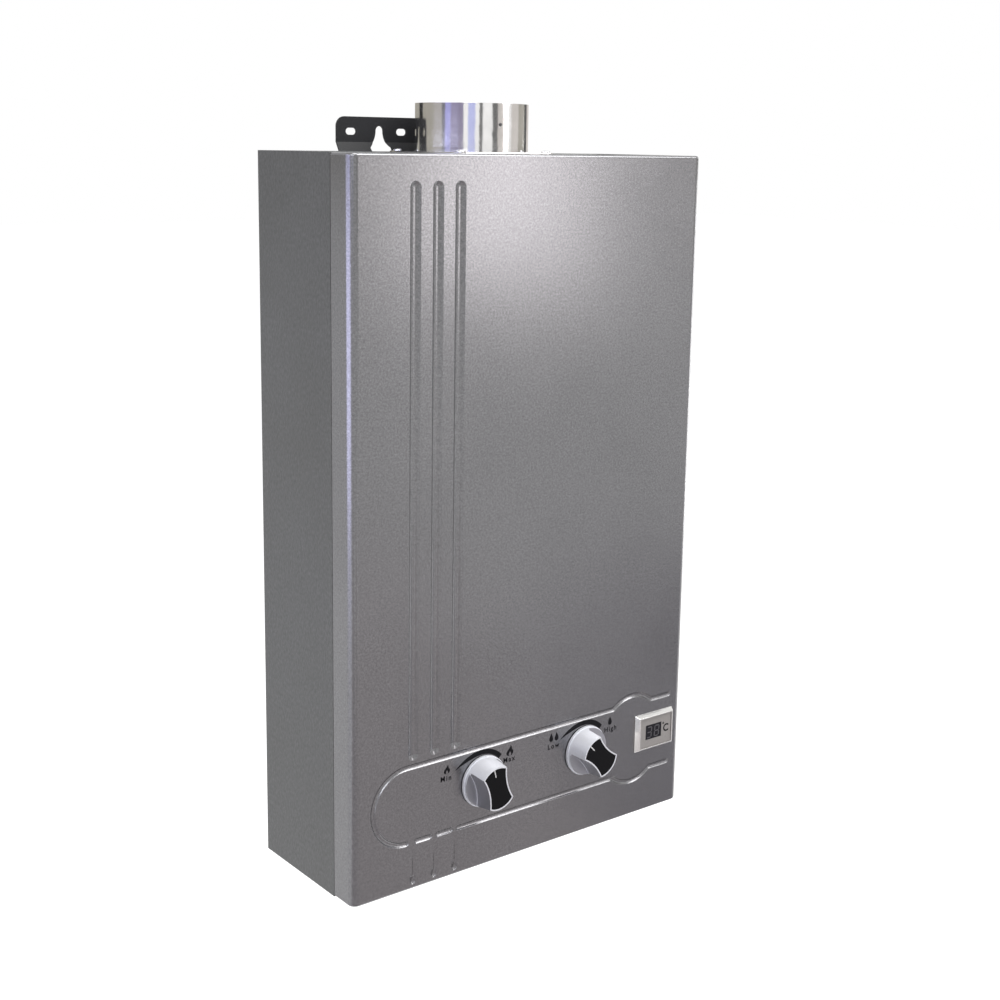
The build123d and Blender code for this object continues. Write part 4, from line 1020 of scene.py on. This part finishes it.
class HEATER_OT_connections(bpy.types.Operator):
    """Turns the three threaded connections under the case"""

    bl_idname = "heater.connections"
    bl_label = "Pipe connections"

    def execute(self, context):
        for node in ("gas_inlet", "water_inlet", "hot_outlet"):
            low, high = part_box(node)
            axis = middle(node)
            nut_low, nut_high = low.z + THREAD, low.z + THREAD + NUT_TALL
            z = low.z + CHAMFER
            profile = [(BORE, low.z), (ROOT - CHAMFER, low.z), (ROOT, z)]
            while z + PITCH < nut_low - MM:
                for radius, share in ((CREST, 0.40), (CREST, 0.58), (ROOT, 0.95), (ROOT, 1.0)):
                    profile.append((radius, z + share * PITCH))
                z += PITCH
            profile += [(ROOT, nut_low), (ROOT, nut_high), (NECK, nut_high), (NECK, high.z), (BORE, high.z)]
            tube = turned("tube", profile, 64)
            nut = drum("nut", NUT_RADIUS, nut_low, nut_high, sides=6)
            trim = drum("trim", NUT_BORE, nut_low - MM, nut_high + MM, sides=64)
            carve(nut, trim)
            round_edges(nut, 0.7 * MM, 3, 40)
            piece = join([tube, nut], node + "_fitting")
            smooth(piece, 32)
            place(piece, Matrix.Translation((axis.x, axis.y, 0)))
            hand_over(piece, "brass", node)
        return {"FINISHED"}


# Finishes of the solids that stay, and the stage


class HEATER_OT_finishes(bpy.types.Operator):
    """Gives every solid that stays in view its finish"""

    bl_idname = "heater.finishes"
    bl_label = "Finishes"

    def execute(self, context):
        slots = {row["node"]: row["material_slot"] for row in frame["record"]["subparts"]}
        for name, solid in frame["nodes"].items():
            solid.data.materials.clear()
            solid.data.materials.append(finish_of(slots[name]))
        return {"FINISHED"}


# Each lamp: name, place, target, size, power, colour, whether it lights dull things too
LAMPS = (
    ("window", (1.010, -1.480, 0.165), (-0.03, FACE_Y, 0.165), (0.28, 0.87), 3.75, (1.0, 0.955, 0.970), True),
    ("ceiling", (0.90, -0.90, 1.05), (0, FACE_Y, -0.50), (0.90, 0.90), 17, (1, 1, 1), True),
    ("overhead", (0.10, -0.55, 1.40), HEART, (0.90, 0.90), 14, (1, 1, 1), True),
    ("right_strip", (2.35, 0.04, -0.35), HEART, (0.31, 1.9), 14, (1, 1, 1), True),
    ("left_low", (-2.46, 0.04, -0.485), (0, 0.04, -0.485), (2.6, 0.79), 21, (0.66, 0.67, 1.0), False),
    ("left_high", (-2.46, 0.04, 0.73), (0, 0.04, 0.73), (2.6, 0.90), 24, (0.66, 0.67, 1.0), False),
    ("upper_left", (-1.05, -1.25, 0.62), (-0.05, FACE_Y, -0.53), (0.9, 0.9), 10, (0.92, 0.94, 1.0), False),
)


def lamp(name, place, target, size, power, colour, broad):
    """Soft oblong lamp that faces a target."""
    bpy.ops.object.light_add(type="AREA", location=place)
    light = bpy.context.object
    light.name = name
    light.data.shape = "RECTANGLE"
    light.data.size, light.data.size_y = size
    light.data.energy = power
    light.data.color = colour
    light.visible_diffuse = broad
    light.rotation_euler = (Vector(target) - Vector(place)).to_track_quat("-Z", "Y").to_euler()


# Tones of the room that bright metal shows
WHITE, PALE, WALL = (1.15, 1.15, 1.15), (0.73, 0.69, 0.66), (0.43, 0.41, 0.36)
SHADE, BLACK = (0.16, 0.16, 0.16), (0.03, 0.03, 0.03)
SKY, DUSK, VIOLET = (0.61, 0.65, 1.05), (0.41, 0.41, 0.81), (0.30, 0.27, 0.41)

# Cards that only bright metal shows, a ring of them level with the collar: first azimuth, last azimuth, tone
CARDS = (
    (18, 53, PALE), (53, 102, WALL), (102, 118, BLACK), (118, 173, WALL), (173, 180, SHADE), (180, 192, DUSK),
    (192, 218, VIOLET), (218, 227, WHITE), (227, 241, SKY), (241, 249, WHITE), (249, 255, SHADE),
    (255, 275, WHITE), (275, 286, SHADE), (286, 303, PALE), (318, 340, PALE), (340, 364, WALL), (364, 378, BLACK),
)

# Cards on the floor in front, that the lower half of the cover shows: azimuth, width in metres, colour
FLOOR_CARDS = (
    (322, 0.6, (0.58, 0.56, 0.60)),
    (295, 0.6, (0.86, 0.81, 0.82)),
    (262, 0.8, (0.78, 0.73, 0.74)),
    (225, 0.9, (0.72, 0.68, 0.70)),
)

# The ring's radius, a card's height and the height of its middle; distance, length and lift of the floor's cards
RING_REACH, RING_TALL, RING_LIFT = 2.2, 0.32, 0.09
FLOOR_REACH, FLOOR_LONG, FLOOR_LIFT = 1.25, 2.0, 0.004

FLOOR_TONES = (0.60, 0.60, 0.60, 1), (0.64, 0.64, 0.64, 1)
FLOOR_GLOW, ROOM_LIGHT = 0.80, 0.40
PURE_WHITE, PURE_BLACK = (1, 1, 1, 1), (0, 0, 0, 1)


def card(name, colour, matrix):
    """Card that shows in reflections alone, a square metre put in its place."""
    bpy.ops.mesh.primitive_plane_add(size=1)
    piece = begun(name)
    place(piece, matrix)
    piece.visible_camera = piece.visible_diffuse = piece.visible_shadow = False
    recipe = Recipe(bpy.data.materials.new(name))
    recipe.set({"Base Color": PURE_BLACK, "Specular IOR Level": 0.0})
    recipe.set({"Emission Color": colour + (1,), "Emission Strength": 1.0})
    piece.data.materials.append(recipe.owner)


def standing_card(number, first, last, colour):
    """Upright card of the ring."""
    azimuth, half = math.radians((first + last) / 2), math.radians((last - first) / 2)
    at = Vector((RING_REACH * math.cos(azimuth), RING_REACH * math.sin(azimuth), RING_LIFT))
    turn = Matrix.Rotation(azimuth - math.pi / 2, 4, "Z") @ Matrix.Rotation(math.pi / 2, 4, "X")
    size = Matrix.Diagonal((2 * RING_REACH * math.tan(half), RING_TALL, 1, 1))
    card("card_%d" % number, colour, Matrix.Translation(at) @ turn @ size)


def lying_card(number, floor, azimuth, wide, colour):
    """Card that lies on the floor, its length pointing away from the cover."""
    turn = Matrix.Rotation(math.radians(azimuth), 4, "Z")
    at = Vector((0, FACE_Y, floor + FLOOR_LIFT * (number + 1))) + turn @ Vector((FLOOR_REACH, 0, 0))
    size = Matrix.Diagonal((FLOOR_LONG, wide, 1, 1))
    card("floor_card_%d" % number, colour, Matrix.Translation(at) @ turn @ size)


class HEATER_OT_stage(bpy.types.Operator):
    """Sets the floor, the white surroundings, the lamps and the camera"""

    bl_idname = "heater.stage"
    bl_label = "Stage"

    def execute(self, context):
        scene = context.scene
        stage = scene.heater_stage
        ground = CAD_BOX[0][2] - stage.drop
        bpy.ops.mesh.primitive_plane_add(size=30, location=(0, 0, ground))
        floor = bpy.context.object
        floor.name = "floor"
        recipe = Recipe(bpy.data.materials.new("pale_floor"))
        glow = recipe.node("ShaderNodeMath", {0: recipe.seen(), 1: FLOOR_GLOW}, operation="MULTIPLY")
        recipe.set({
            "Base Color": recipe.ramp(recipe.noise(recipe.where(), 2.0, 2.0), *FLOOR_TONES),
            "Roughness": 0.9,
            "Specular IOR Level": 0.0,
            "Emission Color": PURE_WHITE,
            "Emission Strength": glow.outputs[0],
        })
        floor.data.materials.append(recipe.owner)

        room = Recipe(bpy.data.worlds.new("white_room"), "Background")
        scene.world = room.owner
        level = room.node("ShaderNodeMapRange", {"Value": room.seen(), "To Min": ROOM_LIGHT, "To Max": 1.0})
        room.set({"Color": PURE_WHITE, "Strength": level.outputs["Result"]})

        for row in LAMPS:
            lamp(*row)
        for number, row in enumerate(CARDS):
            standing_card(number, *row)
        for number, row in enumerate(FLOOR_CARDS):
            lying_card(number, ground, *row)

        data = bpy.data.cameras.new("camera")
        camera = bpy.data.objects.new("camera", data)
        scene.collection.objects.link(camera)
        data.sensor_width = 36
        data.lens = stage.lens
        data.shift_y = stage.shift
        data.clip_start, data.clip_end = 0.05, 60
        a, b, c = stage.yaw, stage.pitch, stage.roll
        across, down = Vector((math.cos(a), -math.sin(a), 0)), Vector((0, 0, -1))
        ahead = Vector((math.sin(a), math.cos(a), 0))
        down, ahead = math.cos(b) * down - math.sin(b) * ahead, math.sin(b) * down + math.cos(b) * ahead
        across, down = math.cos(c) * across - math.sin(c) * down, math.sin(c) * across + math.cos(c) * down
        turn = Matrix((across, -down, -ahead)).transposed().to_4x4()
        camera.matrix_world = Matrix.Translation(Vector(stage.camera)) @ turn
        scene.camera = camera
        scene.view_settings.view_transform = "Standard"
        return {"FINISHED"}


class HEATER_PT_panel(bpy.types.Panel):
    """Lists the heater's pieces and sizes"""

    bl_idname = "HEATER_PT_panel"
    bl_label = "Water heater"
    bl_space_type = "VIEW_3D"
    bl_region_type = "UI"
    bl_category = "Water heater"

    def draw(self, context):
        for operator in OPERATORS:
            self.layout.operator(operator.bl_idname)
        for name in GROUPS:
            group = getattr(context.scene, name)
            box = self.layout.box()
            box.label(text=group.__doc__)
            for key in group.__annotations__:
                box.prop(group, key, text=key.replace("_", " ").capitalize())


OPERATORS = (
    HEATER_OT_finishes, HEATER_OT_cover, HEATER_OT_knobs, HEATER_OT_display, HEATER_OT_prints,
    HEATER_OT_collar, HEATER_OT_fasteners, HEATER_OT_connections, HEATER_OT_stage,
)
GROUPS = {
    "heater_cover": CoverSizes,
    "heater_knobs": KnobSizes,
    "heater_display": DisplaySizes,
    "heater_colours": FinishColours,
    "heater_stage": StageSettings,
}
CLASSES = (*GROUPS.values(), *OPERATORS, HEATER_PT_panel)


def register():
    """Registers the classes and ties the settings to the scene."""
    for kind in CLASSES:
        bpy.utils.register_class(kind)
    for name, group in GROUPS.items():
        setattr(bpy.types.Scene, name, PointerProperty(type=group))


def unregister():
    """Undoes what register does."""
    for name in GROUPS:
        delattr(bpy.types.Scene, name)
    for kind in reversed(CLASSES):
        bpy.utils.unregister_class(kind)


def main():
    """Models every piece in order."""
    register()
    bpy.ops.heater.finishes()
    bpy.ops.heater.cover()
    bpy.ops.heater.knobs()
    bpy.ops.heater.display()
    bpy.ops.heater.prints()
    bpy.ops.heater.collar()
    bpy.ops.heater.fasteners()
    bpy.ops.heater.connections()
    bpy.ops.heater.stage()


if __name__ == "__main__":
    main()
